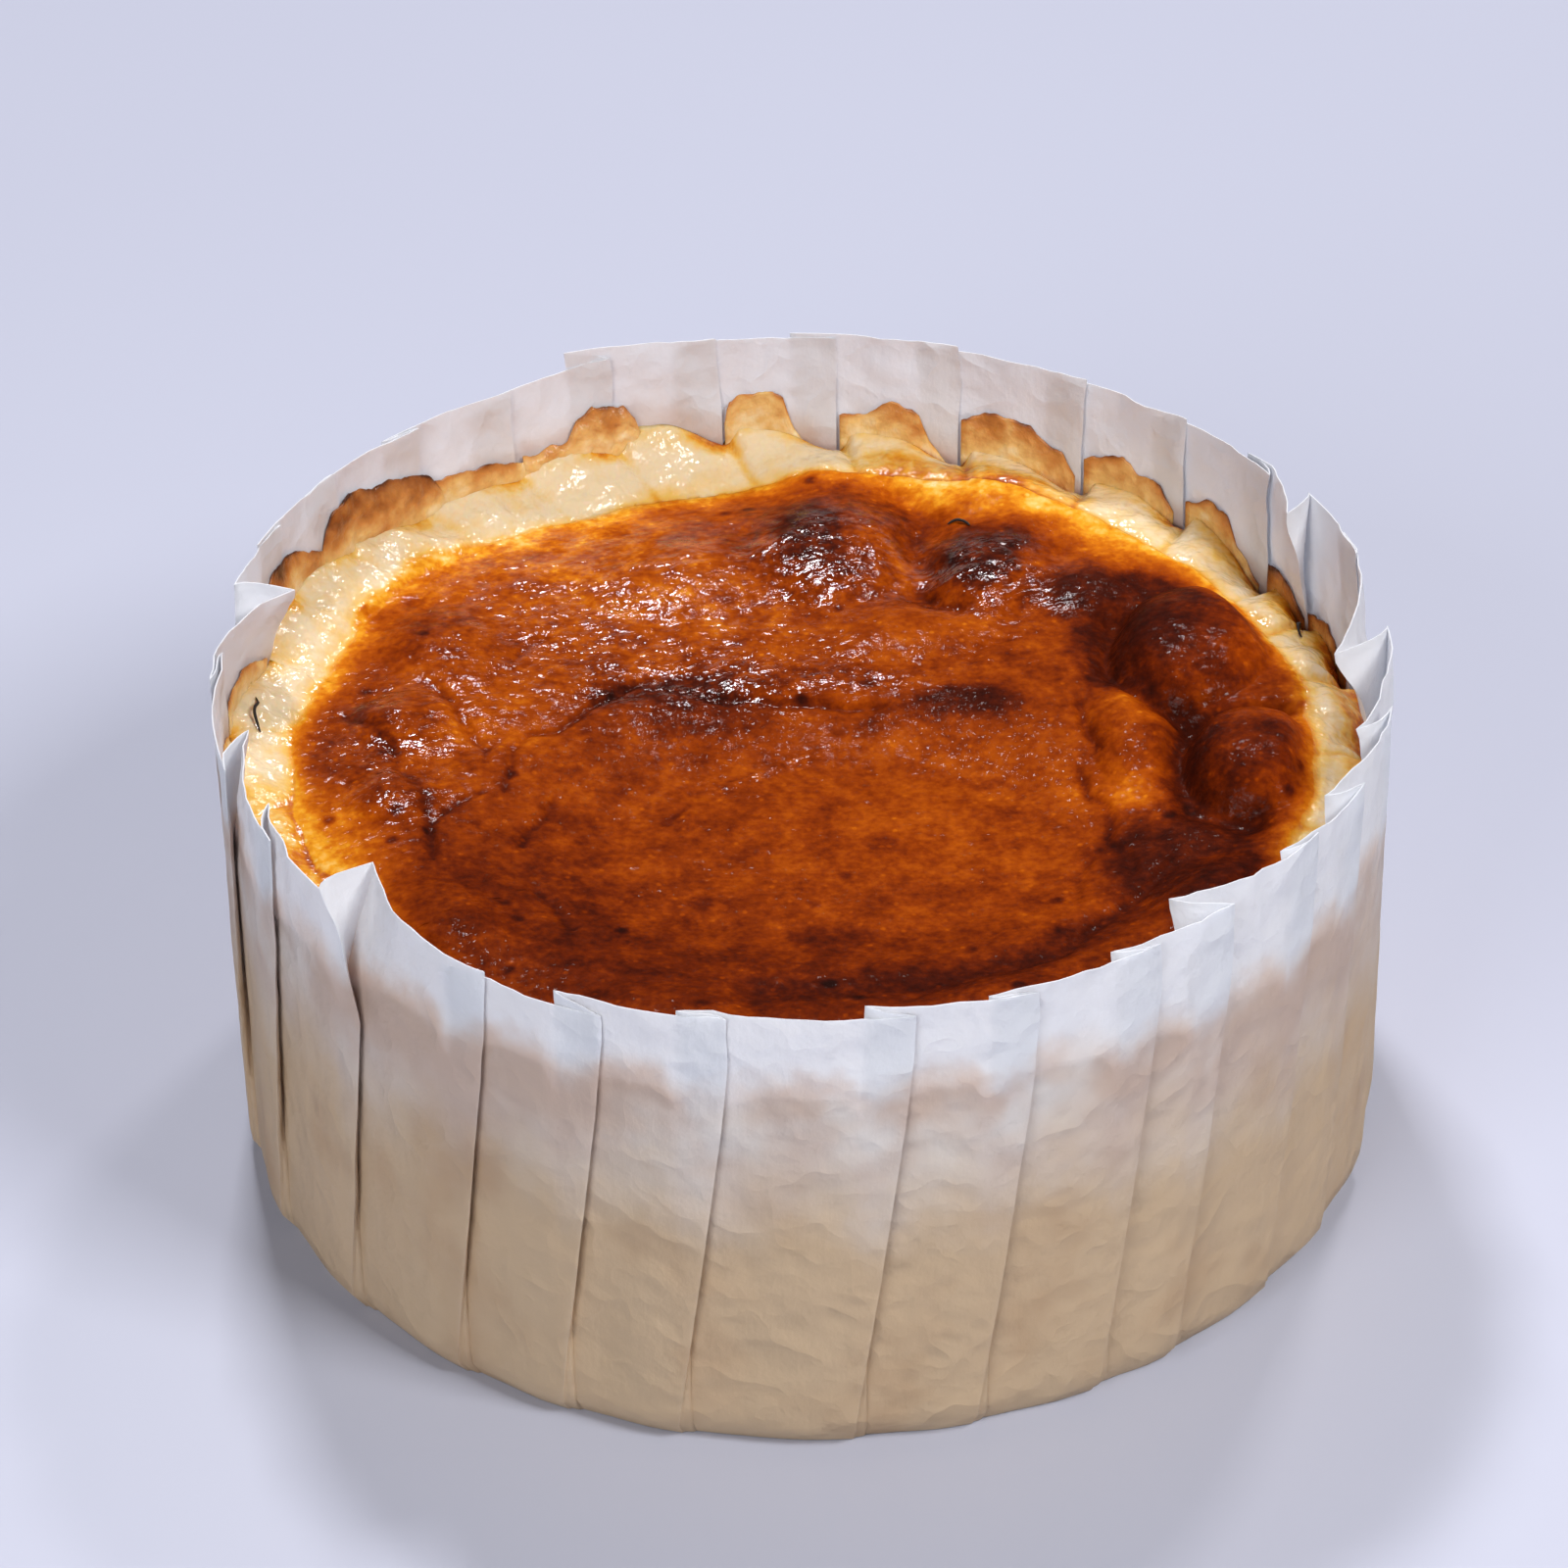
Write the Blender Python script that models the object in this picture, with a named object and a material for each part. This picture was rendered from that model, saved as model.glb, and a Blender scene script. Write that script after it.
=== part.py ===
"""A basque cheesecake in its pleated baking-paper case.

The cake stands as it was baked: a tall pale custard body with a browned cap that has sunk
in the middle and puffed up in lumps along its back and its right side. The custard climbs
the paper as a pale ring. The case is one round sheet of parchment whose wall is gathered
into overlapping knife pleats, deeper towards the top, and stands higher than the cake.

Units are metres, +Z is up and the origin is the middle of the paper's underside.
Azimuths are in degrees, counter-clockwise from +X. Seen from the front, the viewer stands
at -Y.
"""

import math
from dataclasses import dataclass

import bmesh
import bpy
import numpy as np

MM = 0.001

# --- the paper case -------------------------------------------------------------------------
PAPER_THICKNESS = 0.45 * MM  # the parchment with its crinkles, as one firm sheet
CASE_RADIUS = 75.0 * MM  # outermost layer of the wall at the top
CASE_HEIGHT = 69.0 * MM  # usual height of the standing fold corners
FOOT_RADIUS = 71.6 * MM  # where the flat floor ends and the rounded foot begins
LEAN_DROP = 0.3  # how much lower a corner comes for each millimetre that it leans


@dataclass(frozen=True)
class Pleat:
    """One pleat, with its lengths in millimetres.

    The azimuth in degrees is that of its inner fold edge, whose corner reaches the height top
    and leans in over the cake. The cut edge falls from there to the pleat's outer corner."""

    azimuth: float
    top: float
    fall: float
    lean: float = 0.0


# The pleats were pressed by hand and are uneven.
PLEATS = (
    Pleat(0, 69.8, 0.3, 5.0),
    Pleat(15, 70.0, 0.2),
    Pleat(25, 71.0, 2.0, 3.8),
    Pleat(33, 69.4, 1.2, 1.0),
    Pleat(46, 69.2, 0.4),
    Pleat(59, 69.8, 0.3),
    Pleat(73, 70.4, -0.5),
    Pleat(86, 70.2, -0.4),
    Pleat(98, 70.8, -1.7),
    Pleat(110, 70.4, 1.7),
    Pleat(121, 69.4, -0.5),
    Pleat(133, 69.6, -0.3),
    Pleat(145, 70.2, 0.1),
    Pleat(155, 69.7, 0.2),
    Pleat(164, 69.9, 1.6, 4.8),
    Pleat(177, 68.6, 1.8, 0.7),
    Pleat(191, 69.5, 2.4, 3.9),
    Pleat(204, 68.8, 2.0, 1.8),
    Pleat(219, 70.2, 3.2, 6.6),
    Pleat(234, 66.0, 0.8),
    Pleat(246, 67.3, 0.4),
    Pleat(258, 67.5, 0.8),
    Pleat(275, 68.3, 1.4),
    Pleat(287, 67.6, -0.3),
    Pleat(300, 68.3, 0.1, 1.0),
    Pleat(309, 70.3, 1.2, 4.3),
    Pleat(322, 69.5, 1.9, 1.4),
    Pleat(333, 69.5, 1.6, 2.0),
    Pleat(346, 68.8, 0.9, 0.5),
)

# Levels of the wall: height, wall radius, radial depth of a pleat, how far the fold is closed,
# from 0, a mere step, to 1, a flap of the full width that lies over its neighbour, and the
# share of a corner's lean that shows there.
FLAP_WIDTH = 6.0 * MM
STEP_WIDTH = 1.6 * MM


@dataclass(frozen=True)
class Level:
    """One level of the pleated wall."""

    height: float
    radius: float
    depth: float
    closed: float
    leaning: float


WALL_LEVELS = (
    Level(PAPER_THICKNESS / 2, FOOT_RADIUS, 0.7 * MM, 0.0, 0.0),
    Level(3.2 * MM, CASE_RADIUS - 1.2 * MM, 0.9 * MM, 0.0, 0.0),
    Level(27.0 * MM, CASE_RADIUS - 0.6 * MM, 1.7 * MM, 0.45, 0.0),
    Level(50.0 * MM, CASE_RADIUS - 0.3 * MM, 2.3 * MM, 0.85, 0.0),
    Level(61.0 * MM, CASE_RADIUS - 0.1 * MM, 2.5 * MM, 1.0, 0.3),
    Level(CASE_HEIGHT, CASE_RADIUS, 2.6 * MM, 1.0, 1.0),
)

# --- the cake -------------------------------------------------------------------------------
GAP = 0.4 * MM  # between the cake and the paper
CAP_RADIUS = 65.0 * MM  # the browned cap ends here and the pale ring begins
STEPS_PER_PLEAT = 5  # points round the cake for each pleat
STEP_CLEAR = 1.3 * MM / CASE_RADIUS  # the custard steps in this far before a fold edge
STEP_RUN = 1.0 * MM / CASE_RADIUS  # and does so over this angle

# Height of the browned cap's edge and of the pale ring against the paper, by azimuth.
CAP_EDGE_HEIGHTS = (
    (0, 55.4), (24, 54.6), (45, 54.8), (65, 56.6), (75, 54.6), (86, 55.0), (98, 52.2),
    (117, 52.6), (140, 54.2), (170, 54.0), (200, 53.4), (240, 54.0), (285, 54.2), (335, 54.6),
)  # fmt: skip
RING_EDGE_HEIGHTS = (
    (8, 48.6), (33, 51.0), (46, 54.0), (60, 52.6), (86, 54.2), (107, 57.8), (130, 56.2),
    (150, 59.0), (168, 56.4), (200, 54.8), (240, 55.0), (285, 53.6), (330, 50.0),
)  # fmt: skip

CAP_LEVEL = 54.6 * MM  # the puffed outer part of the cap
BASIN_DEPTH = 2.9 * MM  # the sunken middle below it
BASIN_MIDDLE = (3.0 * MM, -19.0 * MM)
BASIN_HALF_SIZE = (46.0 * MM, 31.0 * MM)
PUFF_START = 52.0 * MM  # radius at which the cap begins to turn towards its edge
RING_BULGE = 0.8 * MM  # crown of the custard between two fold edges
RING_TILT = 1.4 * MM  # the custard stands this much higher before a fold edge, and lower after
RING_VALLEY = 0.5 * MM  # dip where the cap's skin ends


@dataclass(frozen=True)
class Lump:
    """A rounded puff of the crust: middle, half sizes, turn in degrees and height.

    A small fullness gives steep sides, a large one a soft swelling."""

    x: float
    y: float
    half_x: float
    half_y: float
    turn: float
    height: float
    fullness: float


LUMPS = (
    Lump(4.0 * MM, 50.0 * MM, 11.5 * MM, 14.0 * MM, 0.0, 2.7 * MM, 1.2),  # tall scorched puff
    Lump(25.0 * MM, 45.0 * MM, 9.5 * MM, 13.5 * MM, -20.0, 2.4 * MM, 1.2),  # its neighbour
    Lump(37.5 * MM, 39.0 * MM, 8.0 * MM, 8.5 * MM, -30.0, 1.3 * MM, 1.4),
    Lump(50.5 * MM, 21.0 * MM, 10.5 * MM, 13.5 * MM, -18.0, 4.6 * MM, 0.6),  # large dark bulge
    Lump(57.0 * MM, -5.0 * MM, 8.8 * MM, 10.6 * MM, 8.0, 4.4 * MM, 0.6),  # bulge in front of it
    Lump(-51.0 * MM, 8.0 * MM, 7.5 * MM, 6.5 * MM, 10.0, 1.5 * MM, 1.0),
    Lump(-52.0 * MM, -9.0 * MM, 6.5 * MM, 6.0 * MM, 0.0, 1.2 * MM, 1.0),
    Lump(-46.0 * MM, 24.0 * MM, 9.0 * MM, 12.0 * MM, 35.0, 1.3 * MM, 1.4),
    Lump(-14.0 * MM, 40.0 * MM, 17.0 * MM, 11.0 * MM, 12.0, 1.6 * MM, 1.4),
    Lump(15.0 * MM, 27.0 * MM, 14.0 * MM, 8.0 * MM, 10.0, 1.1 * MM, 1.4),
    Lump(42.0 * MM, 3.0 * MM, 5.5 * MM, 13.0 * MM, 0.0, 1.6 * MM, 1.1),
    Lump(50.0 * MM, -33.0 * MM, 8.0 * MM, 10.0 * MM, -35.0, 1.6 * MM, 1.2),
    Lump(22.0 * MM, -56.0 * MM, 13.0 * MM, 7.0 * MM, 20.0, 1.5 * MM, 1.3),
    Lump(-17.0 * MM, -57.0 * MM, 14.0 * MM, 7.0 * MM, -15.0, 1.3 * MM, 1.3),
    Lump(-45.0 * MM, -37.0 * MM, 9.0 * MM, 12.0 * MM, 40.0, 1.5 * MM, 1.3),
)


@dataclass(frozen=True)
class Crease:
    """A sunken line in the crust through the given points, with its depth and half width."""

    points: tuple
    depth: float
    half_width: float


CREASES = (
    # the edge of the basin, from the left along the back to the large bulge
    Crease(((-49, -4), (-40, 4), (-31, 6), (-25, 13), (-16, 15), (-6, 11), (8, 10), (30, 16)),
           0.55 * MM, 2.6 * MM),
    # between the two bulges on the right, then along their inner sides
    Crease(((41, 28), (40, 17), (45, 9), (49.5, 5), (48, -5), (49, -14), (56, -17)),
           1.7 * MM, 2.2 * MM),
    Crease(((49.5, 5), (58, 6.5), (64, 6)), 1.5 * MM, 1.8 * MM),
    # the valley behind the front rim
    Crease(((54, -19), (44, -31), (33, -42), (15, -50), (-6, -51)), 1.0 * MM, 3.4 * MM),
    # between the two scorched puffs at the back
    Crease(((15, 60), (15, 48), (13, 38), (22, 31)), 1.2 * MM, 2.4 * MM),
)  # fmt: skip

# The cap is covered by rings of evenly spread points, from the middle out.
CAP_SPACING = 2.5 * MM
CAP_MESH_RADIUS = 61.5 * MM
RING_RADII = (63.2 * MM, 64.8 * MM, 66.3 * MM, 68.6 * MM)
TOP_CORNER_INSET = 1.4 * MM  # the custard turns down to the paper over this width
SIDE_HEIGHTS = (50.0 * MM, 27.0 * MM, 3.2 * MM + PAPER_THICKNESS)
FOOT_INSET = 1.6 * MM  # the custard's foot is rounder than the paper's

CASE_COLOUR = (0.80, 0.76, 0.75, 1.0)
CAKE_COLOUR = (0.42, 0.135, 0.018, 1.0)


# --- the pleats' layout ---------------------------------------------------------------------
def fold_angles():
    """The azimuths of the fold edges in radians, with the first repeated a turn later."""
    angles = [math.radians(pleat.azimuth) for pleat in PLEATS]
    return np.array(angles + [angles[0] + math.tau])


def panel_rise(along):
    """Radial place within a pleat, 0 at the inner fold edge and 1 at the outer one."""
    return np.interp(along, (0.0, 0.3, 0.7, 1.0), (0.0, 0.13, 0.87, 1.0))


def level_at(height):
    """The wall between two levels, with its values interpolated at a height."""
    heights = [level.height for level in WALL_LEVELS]
    values = [
        np.interp(height, heights, [getattr(level, name) for level in WALL_LEVELS])
        for name in ("radius", "depth", "closed", "leaning")
    ]
    return Level(height, *values)


def fold_reach(level):
    """How far past the inner fold edge the outer fold edge lies, as an angle."""
    arc = FLAP_WIDTH * level.closed - STEP_WIDTH * (1.0 - level.closed)
    return arc / level.radius


def wall_path(level):
    """One turn of the folded wall at a level.

    Returns a list of (azimuth, radius, pleat, share) where share falls from 1 at the pleat's
    inner corner to 0 at its outer one.
    """
    folds = fold_angles()
    reach = fold_reach(level)
    step = STEP_WIDTH * (1.0 - level.closed) / level.radius
    outer, inner = level.radius, level.radius - level.depth
    points = []
    for i, pleat in enumerate(PLEATS):
        start, end = folds[i], folds[i + 1] + reach
        following = PLEATS[(i + 1) % len(PLEATS)]
        for along in (0.0, 0.3, 0.7, 1.0):
            radius = inner + level.depth * float(panel_rise(along))
            points.append((start + (end - start) * along, radius, pleat, 1.0 - along))
        # the layer between this panel and the next one
        near_outer = outer - level.depth * (1 / 3 + level.closed / 6)
        near_inner = outer - level.depth * (2 / 3 - level.closed / 6)
        points.append((end + step / 3, near_outer, pleat, 0.0))
        points.append((folds[i + 1] - step / 3, near_inner, following, 1.0))
    return points


# --- the cake's relief ----------------------------------------------------------------------
def smooth_step(low, high, value):
    """0 below low, 1 above high, and a smooth change between them."""
    t = np.clip((value - low) / (high - low), 0.0, 1.0)
    return t * t * (3.0 - 2.0 * t)


def round_profile(azimuth, knots):
    """Height in metres at an azimuth, through (azimuth, millimetres) knots, closed round."""
    places = [a for a, _ in knots]
    values = [v for _, v in knots]
    places = [places[-1] - 360.0, *places, places[0] + 360.0]
    values = [values[-1], *values, values[0]]
    index = np.clip(np.searchsorted(places, azimuth, side="right") - 1, 0, len(places) - 2)
    low, high = np.take(places, index), np.take(places, index + 1)
    share = 0.5 - 0.5 * np.cos(math.pi * (azimuth - low) / (high - low))
    return MM * (np.take(values, index) * (1 - share) + np.take(values, index + 1) * share)


def lump_height(lump, x, y):
    """Height that a lump adds at the given points."""
    turn = math.radians(lump.turn)
    dx, dy = x - lump.x, y - lump.y
    u = (dx * math.cos(turn) + dy * math.sin(turn)) / lump.half_x
    v = (-dx * math.sin(turn) + dy * math.cos(turn)) / lump.half_y
    inside = np.clip(1.0 - (u * u + v * v), 0.0, 1.0)
    return lump.height * inside**lump.fullness


def crease_depth(crease, x, y):
    """Depth that a crease takes away at the given points."""
    nearest = np.full(np.shape(x), np.inf)
    for (ax, ay), (bx, by) in zip(crease.points, crease.points[1:]):
        ax, ay, bx, by = ax * MM, ay * MM, bx * MM, by * MM
        length = (bx - ax) ** 2 + (by - ay) ** 2
        t = np.clip(((x - ax) * (bx - ax) + (y - ay) * (by - ay)) / length, 0.0, 1.0)
        nearest = np.minimum(nearest, np.hypot(x - ax - t * (bx - ax), y - ay - t * (by - ay)))
    return crease.depth * np.exp(-((nearest / crease.half_width) ** 2))


def cap_height(x, y):
    """Height of the browned cap."""
    radius = np.hypot(x, y)
    azimuth = np.degrees(np.arctan2(y, x)) % 360.0
    away = np.hypot(
        (x - BASIN_MIDDLE[0]) / BASIN_HALF_SIZE[0], (y - BASIN_MIDDLE[1]) / BASIN_HALF_SIZE[1]
    )
    basin = BASIN_DEPTH * (1.0 - smooth_step(0.55, 1.15, away))
    rim = smooth_step(PUFF_START, CAP_RADIUS, radius)
    height = (CAP_LEVEL - basin) * (1.0 - rim) + round_profile(azimuth, CAP_EDGE_HEIGHTS) * rim
    fade = 1.0 - smooth_step(CAP_RADIUS - 4.0 * MM, CAP_RADIUS, radius)
    height = height + fade * sum(lump_height(lump, x, y) for lump in LUMPS)
    return height - fade * sum(crease_depth(crease, x, y) for crease in CREASES)


def pleat_share(angle):
    """Where an angle lies between two steps of the custard, from 0 after the one to 1."""
    folds = fold_angles()
    turned = (angle + STEP_CLEAR - folds[0]) % math.tau + folds[0]
    index = np.clip(np.searchsorted(folds, turned, side="right") - 1, 0, len(PLEATS) - 1)
    return (turned - folds[index]) / (folds[index + 1] - folds[index])


def edge_height(angle):
    """Height of the custard against the paper, which steps down after each fold edge."""
    tilt = RING_TILT * (2.0 * smooth_step(0.0, 0.6, pleat_share(angle)) - 1.0)
    return round_profile(np.degrees(angle) % 360.0, RING_EDGE_HEIGHTS) + tilt


def top_height(x, y, edge_radius):
    """Height of the cake's top: the cap, and outside it the pale ring up to edge_radius."""
    radius = np.hypot(x, y)
    angle = np.arctan2(y, x)
    across = np.clip((radius - CAP_RADIUS) / (edge_radius - CAP_RADIUS), 0.0, 1.0)
    low = round_profile(np.degrees(angle) % 360.0, CAP_EDGE_HEIGHTS)
    crown = RING_BULGE * np.sin(math.pi * pleat_share(angle)) ** 0.6
    ring = low + (edge_height(angle) - low) * across + crown * np.sin(math.pi * across) ** 0.5
    ring = ring - RING_VALLEY * np.exp(-(((radius - CAP_RADIUS) / (1.2 * MM)) ** 2))
    return np.where(radius < CAP_RADIUS, cap_height(x, y), ring)


# --- the cake's side ------------------------------------------------------------------------
def side_angles():
    """Azimuths of the points round the cake, the same number in each pleat.

    The first two of each pleat stand before and after the step at its fold edge."""
    folds = fold_angles()
    angles = []
    for start, end in zip(folds, folds[1:]):
        first, last = start - STEP_CLEAR, end - STEP_CLEAR - STEP_RUN
        angles.append(start - STEP_CLEAR - STEP_RUN)
        angles.extend(first + (last - first) * k / (STEPS_PER_PLEAT - 1)
                      for k in range(STEPS_PER_PLEAT - 1))  # fmt: skip
    return np.array(angles)


def side_radius(angle, height):
    """Radius of the custard at an azimuth, just inside the paper's inner layer."""
    level = level_at(height)
    folds = fold_angles()
    turned = (angle + STEP_CLEAR - folds[0]) % math.tau + folds[0]
    pleat = int(np.searchsorted(folds, turned, side="right")) - 1
    span = folds[pleat + 1] - folds[pleat]
    along = max(turned - STEP_CLEAR - folds[pleat], 0.0) / (span + max(fold_reach(level), 0.0))
    inner_layer = level.radius - level.depth * (1.0 - float(panel_rise(along)))
    lean = PLEATS[pleat].lean * MM * level.leaning * (1.0 - along) ** 2
    return inner_layer - lean - PAPER_THICKNESS / 2 - GAP


def ring_point(angle, radius, height):
    """A point from its azimuth, radius and height."""
    return (radius * math.cos(angle), radius * math.sin(angle), height)


def cap_rings():
    """Rings of evenly spread points of the cap, from the middle out."""
    count = round(CAP_MESH_RADIUS / CAP_SPACING)
    rings = []
    for number in range(1, count + 1):
        radius = CAP_MESH_RADIUS * number / count
        points = max(6, round(math.tau * radius / CAP_SPACING))
        angles = (np.arange(points) + 0.5 * (number % 2)) * math.tau / points
        x, y = radius * np.cos(angles), radius * np.sin(angles)
        rings.append(list(zip(x, y, cap_height(x, y))))
    return rings


def outer_rings():
    """Rings from the cap's edge over the pale ring and down the side to the foot."""
    angles = side_angles()
    edge_heights = edge_height(angles)
    edge = np.array([side_radius(a, h) for a, h in zip(angles, edge_heights)])
    shoulder = edge - TOP_CORNER_INSET
    rings = []
    for radius in [np.full(len(angles), r) for r in RING_RADII] + [shoulder]:
        x, y = radius * np.cos(angles), radius * np.sin(angles)
        rings.append(list(zip(x, y, top_height(x, y, edge))))
    lip = edge_heights - 0.8 * MM
    rings.append([ring_point(a, r, h) for a, r, h in zip(angles, edge, lip)])
    for height in SIDE_HEIGHTS:
        ring = []
        for i, angle in enumerate(angles):
            h = min(height, edge_heights[i] - 3.0 * MM)
            ring.append(ring_point(angle, side_radius(angle, h), h))
        rings.append(ring)
    inset = FOOT_RADIUS - WALL_LEVELS[0].depth - FOOT_INSET
    foot = PAPER_THICKNESS + GAP
    rings.append([ring_point(angle, inset, foot) for angle in angles])
    return rings


# --- building meshes ------------------------------------------------------------------------
def band(bm, upper, lower):
    """Faces between two closed rings with as many vertices each."""
    for i in range(len(upper)):
        j = (i + 1) % len(upper)
        bm.faces.new((upper[i], lower[i], lower[j], upper[j]))


def turn_order(ring):
    """The ring's vertices from azimuth 0 on, and their azimuths with the first repeated."""
    ring = sorted(ring, key=lambda v: math.atan2(v.co.y, v.co.x) % math.tau)
    angles = [math.atan2(v.co.y, v.co.x) % math.tau for v in ring]
    return ring, angles + [angles[0] + math.tau]


def zip_rings(bm, inner, outer):
    """Triangles between two rings round the Z axis whose vertices may differ in number."""
    inner, inner_angles = turn_order(inner)
    outer, outer_angles = turn_order(outer)
    i = k = 0
    while i < len(inner) or k < len(outer):
        here, there = inner[i % len(inner)], outer[k % len(outer)]
        if i == len(inner) or (k < len(outer) and outer_angles[k + 1] <= inner_angles[i + 1]):
            k += 1
            bm.faces.new((here, there, outer[k % len(outer)]))
        else:
            i += 1
            bm.faces.new((here, there, inner[i % len(inner)]))


def add_object(name, bm, colour, roughness):
    """Turns a bmesh into a named object with a material of its own."""
    bmesh.ops.recalc_face_normals(bm, faces=bm.faces)
    mesh = bpy.data.meshes.new(name)
    bm.to_mesh(mesh)
    bm.free()
    material = bpy.data.materials.new(name)
    material.use_nodes = True
    shader = material.node_tree.nodes["Principled BSDF"]
    shader.inputs["Base Color"].default_value = colour
    shader.inputs["Roughness"].default_value = roughness
    shader.inputs["Metallic"].default_value = 0.0
    mesh.materials.append(material)
    obj = bpy.data.objects.new(name, mesh)
    bpy.context.scene.collection.objects.link(obj)
    return obj


def build_cheesecake():
    """The cake as one solid: its relief on top, its side pressed into the pleats."""
    bm = bmesh.new()
    middle_height = float(cap_height(np.zeros(1), np.zeros(1))[0])
    middle = bm.verts.new((0.0, 0.0, middle_height))
    cap = [[bm.verts.new(point) for point in ring] for ring in cap_rings()]
    outer = [[bm.verts.new(point) for point in ring] for ring in outer_rings()]
    for i, vertex in enumerate(cap[0]):
        bm.faces.new((middle, vertex, cap[0][(i + 1) % len(cap[0])]))
    for inner_ring, outer_ring in zip(cap, cap[1:] + outer[:1]):
        zip_rings(bm, inner_ring, outer_ring)
    for upper, lower in zip(outer, outer[1:]):
        band(bm, upper, lower)
    bm.faces.new(outer[-1])
    cake = add_object("cheesecake", bm, CAKE_COLOUR, 0.35)
    cake.data.shade_smooth()
    cake.data.set_sharp_from_angle(angle=math.radians(50.0))
    return cake


def build_paper_case():
    """The case as one pleated sheet, given its thickness by a Solidify modifier."""
    bm = bmesh.new()
    rings = []
    for level in WALL_LEVELS:
        ring = []
        for angle, radius, pleat, share in wall_path(level):
            height = level.height
            if level is WALL_LEVELS[-1]:
                height = (pleat.top - pleat.fall * (1.0 - share)) * MM
            lean = pleat.lean * MM * level.leaning * share**2
            ring.append(bm.verts.new(ring_point(angle, radius - lean, height - LEAN_DROP * lean)))
        rings.append(ring)
    for upper, lower in zip(rings[1:], rings):
        band(bm, upper, lower)
    bm.faces.new(rings[0])
    case = add_object("paper_case", bm, CASE_COLOUR, 0.6)
    thickness = case.modifiers.new("Thickness", "SOLIDIFY")
    thickness.thickness = PAPER_THICKNESS
    thickness.offset = 0.0
    return case


def main():
    for obj in list(bpy.data.objects):
        bpy.data.objects.remove(obj)
    build_cheesecake()
    build_paper_case()


main()
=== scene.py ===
"""Dresses a basque cheesecake in its pleated baking-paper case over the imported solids.

The cake is one body: a pale custard that climbs the paper as a ring of soft bulges, and a
browned skin that has sunk in the middle and puffed up along its back and right side. The case
is one sheet gathered into overlapping knife pleats. Skins of browned custard cling to the
paper above the ring, and three burnt threads lie on the cake.

Lengths are metres, +Z is up and the origin is the middle of the paper's underside. Azimuths
are in degrees, counter-clockwise from +X, with the viewer at -Y.
"""

import logging
import math
from collections.abc import Callable
from dataclasses import dataclass, field
from enum import Enum

import bpy
import numpy as np
from mathutils import Matrix, Vector


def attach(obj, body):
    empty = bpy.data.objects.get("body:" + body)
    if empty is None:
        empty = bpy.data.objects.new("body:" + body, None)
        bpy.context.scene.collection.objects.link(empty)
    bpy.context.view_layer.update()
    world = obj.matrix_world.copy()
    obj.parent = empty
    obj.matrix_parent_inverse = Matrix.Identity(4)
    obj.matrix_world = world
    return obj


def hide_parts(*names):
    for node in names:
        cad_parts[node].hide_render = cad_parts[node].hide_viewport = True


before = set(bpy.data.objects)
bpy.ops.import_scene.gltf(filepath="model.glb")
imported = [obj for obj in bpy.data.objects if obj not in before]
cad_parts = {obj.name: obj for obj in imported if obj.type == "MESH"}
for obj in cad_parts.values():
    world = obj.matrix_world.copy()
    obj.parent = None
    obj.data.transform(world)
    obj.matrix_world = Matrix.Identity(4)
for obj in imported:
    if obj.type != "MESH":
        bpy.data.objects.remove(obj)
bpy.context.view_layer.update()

LOG = logging.getLogger("cheesecake")
MM = 0.001
Array = np.ndarray
Pairs = tuple[tuple[float, float], ...]
Colour = tuple[float, float, float, float]
BODY = "root"
LOOKED_AT = (0.0, 0.0, 0.05)


class Slot(Enum):
    """The record's material slots."""

    CAKE = "cake"
    PAPER = "paper"


# --- small helpers --------------------------------------------------------------------------
def smooth_step(low: float, high: float, value: Array) -> Array:
    """0 below low and 1 above high, with a smooth rise between them."""
    t = np.clip((value - low) / (high - low), 0.0, 1.0)
    return t * t * (3.0 - 2.0 * t)


def sector(angle: Array, middle: float, half: float, power: int = 4) -> Array:
    """1 within half degrees of the middle azimuth, falling off to 0; the angle is in radians."""
    away = (np.degrees(angle) - middle + 180.0) % 360.0 - 180.0
    return np.exp(-((away / half) ** power))


def linear(red: float, green: float, blue: float) -> Colour:
    """Turns a screen colour into the linear colour that a shader takes.

    Args:
        red: red, 0 to 255.
        green: green, 0 to 255.
        blue: blue, 0 to 255.

    Returns:
        The linear colour with a full alpha.
    """
    shares = [channel / 255.0 for channel in (red, green, blue)]
    bent = [c / 12.92 if c <= 0.04045 else ((c + 0.055) / 1.055) ** 2.4 for c in shares]
    return (*bent, 1.0)


def made(kind: type, rows: tuple[tuple, ...]) -> tuple:
    """One object of the class from each row of values, in the order of its fields."""
    return tuple(kind(*row) for row in rows)


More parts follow.
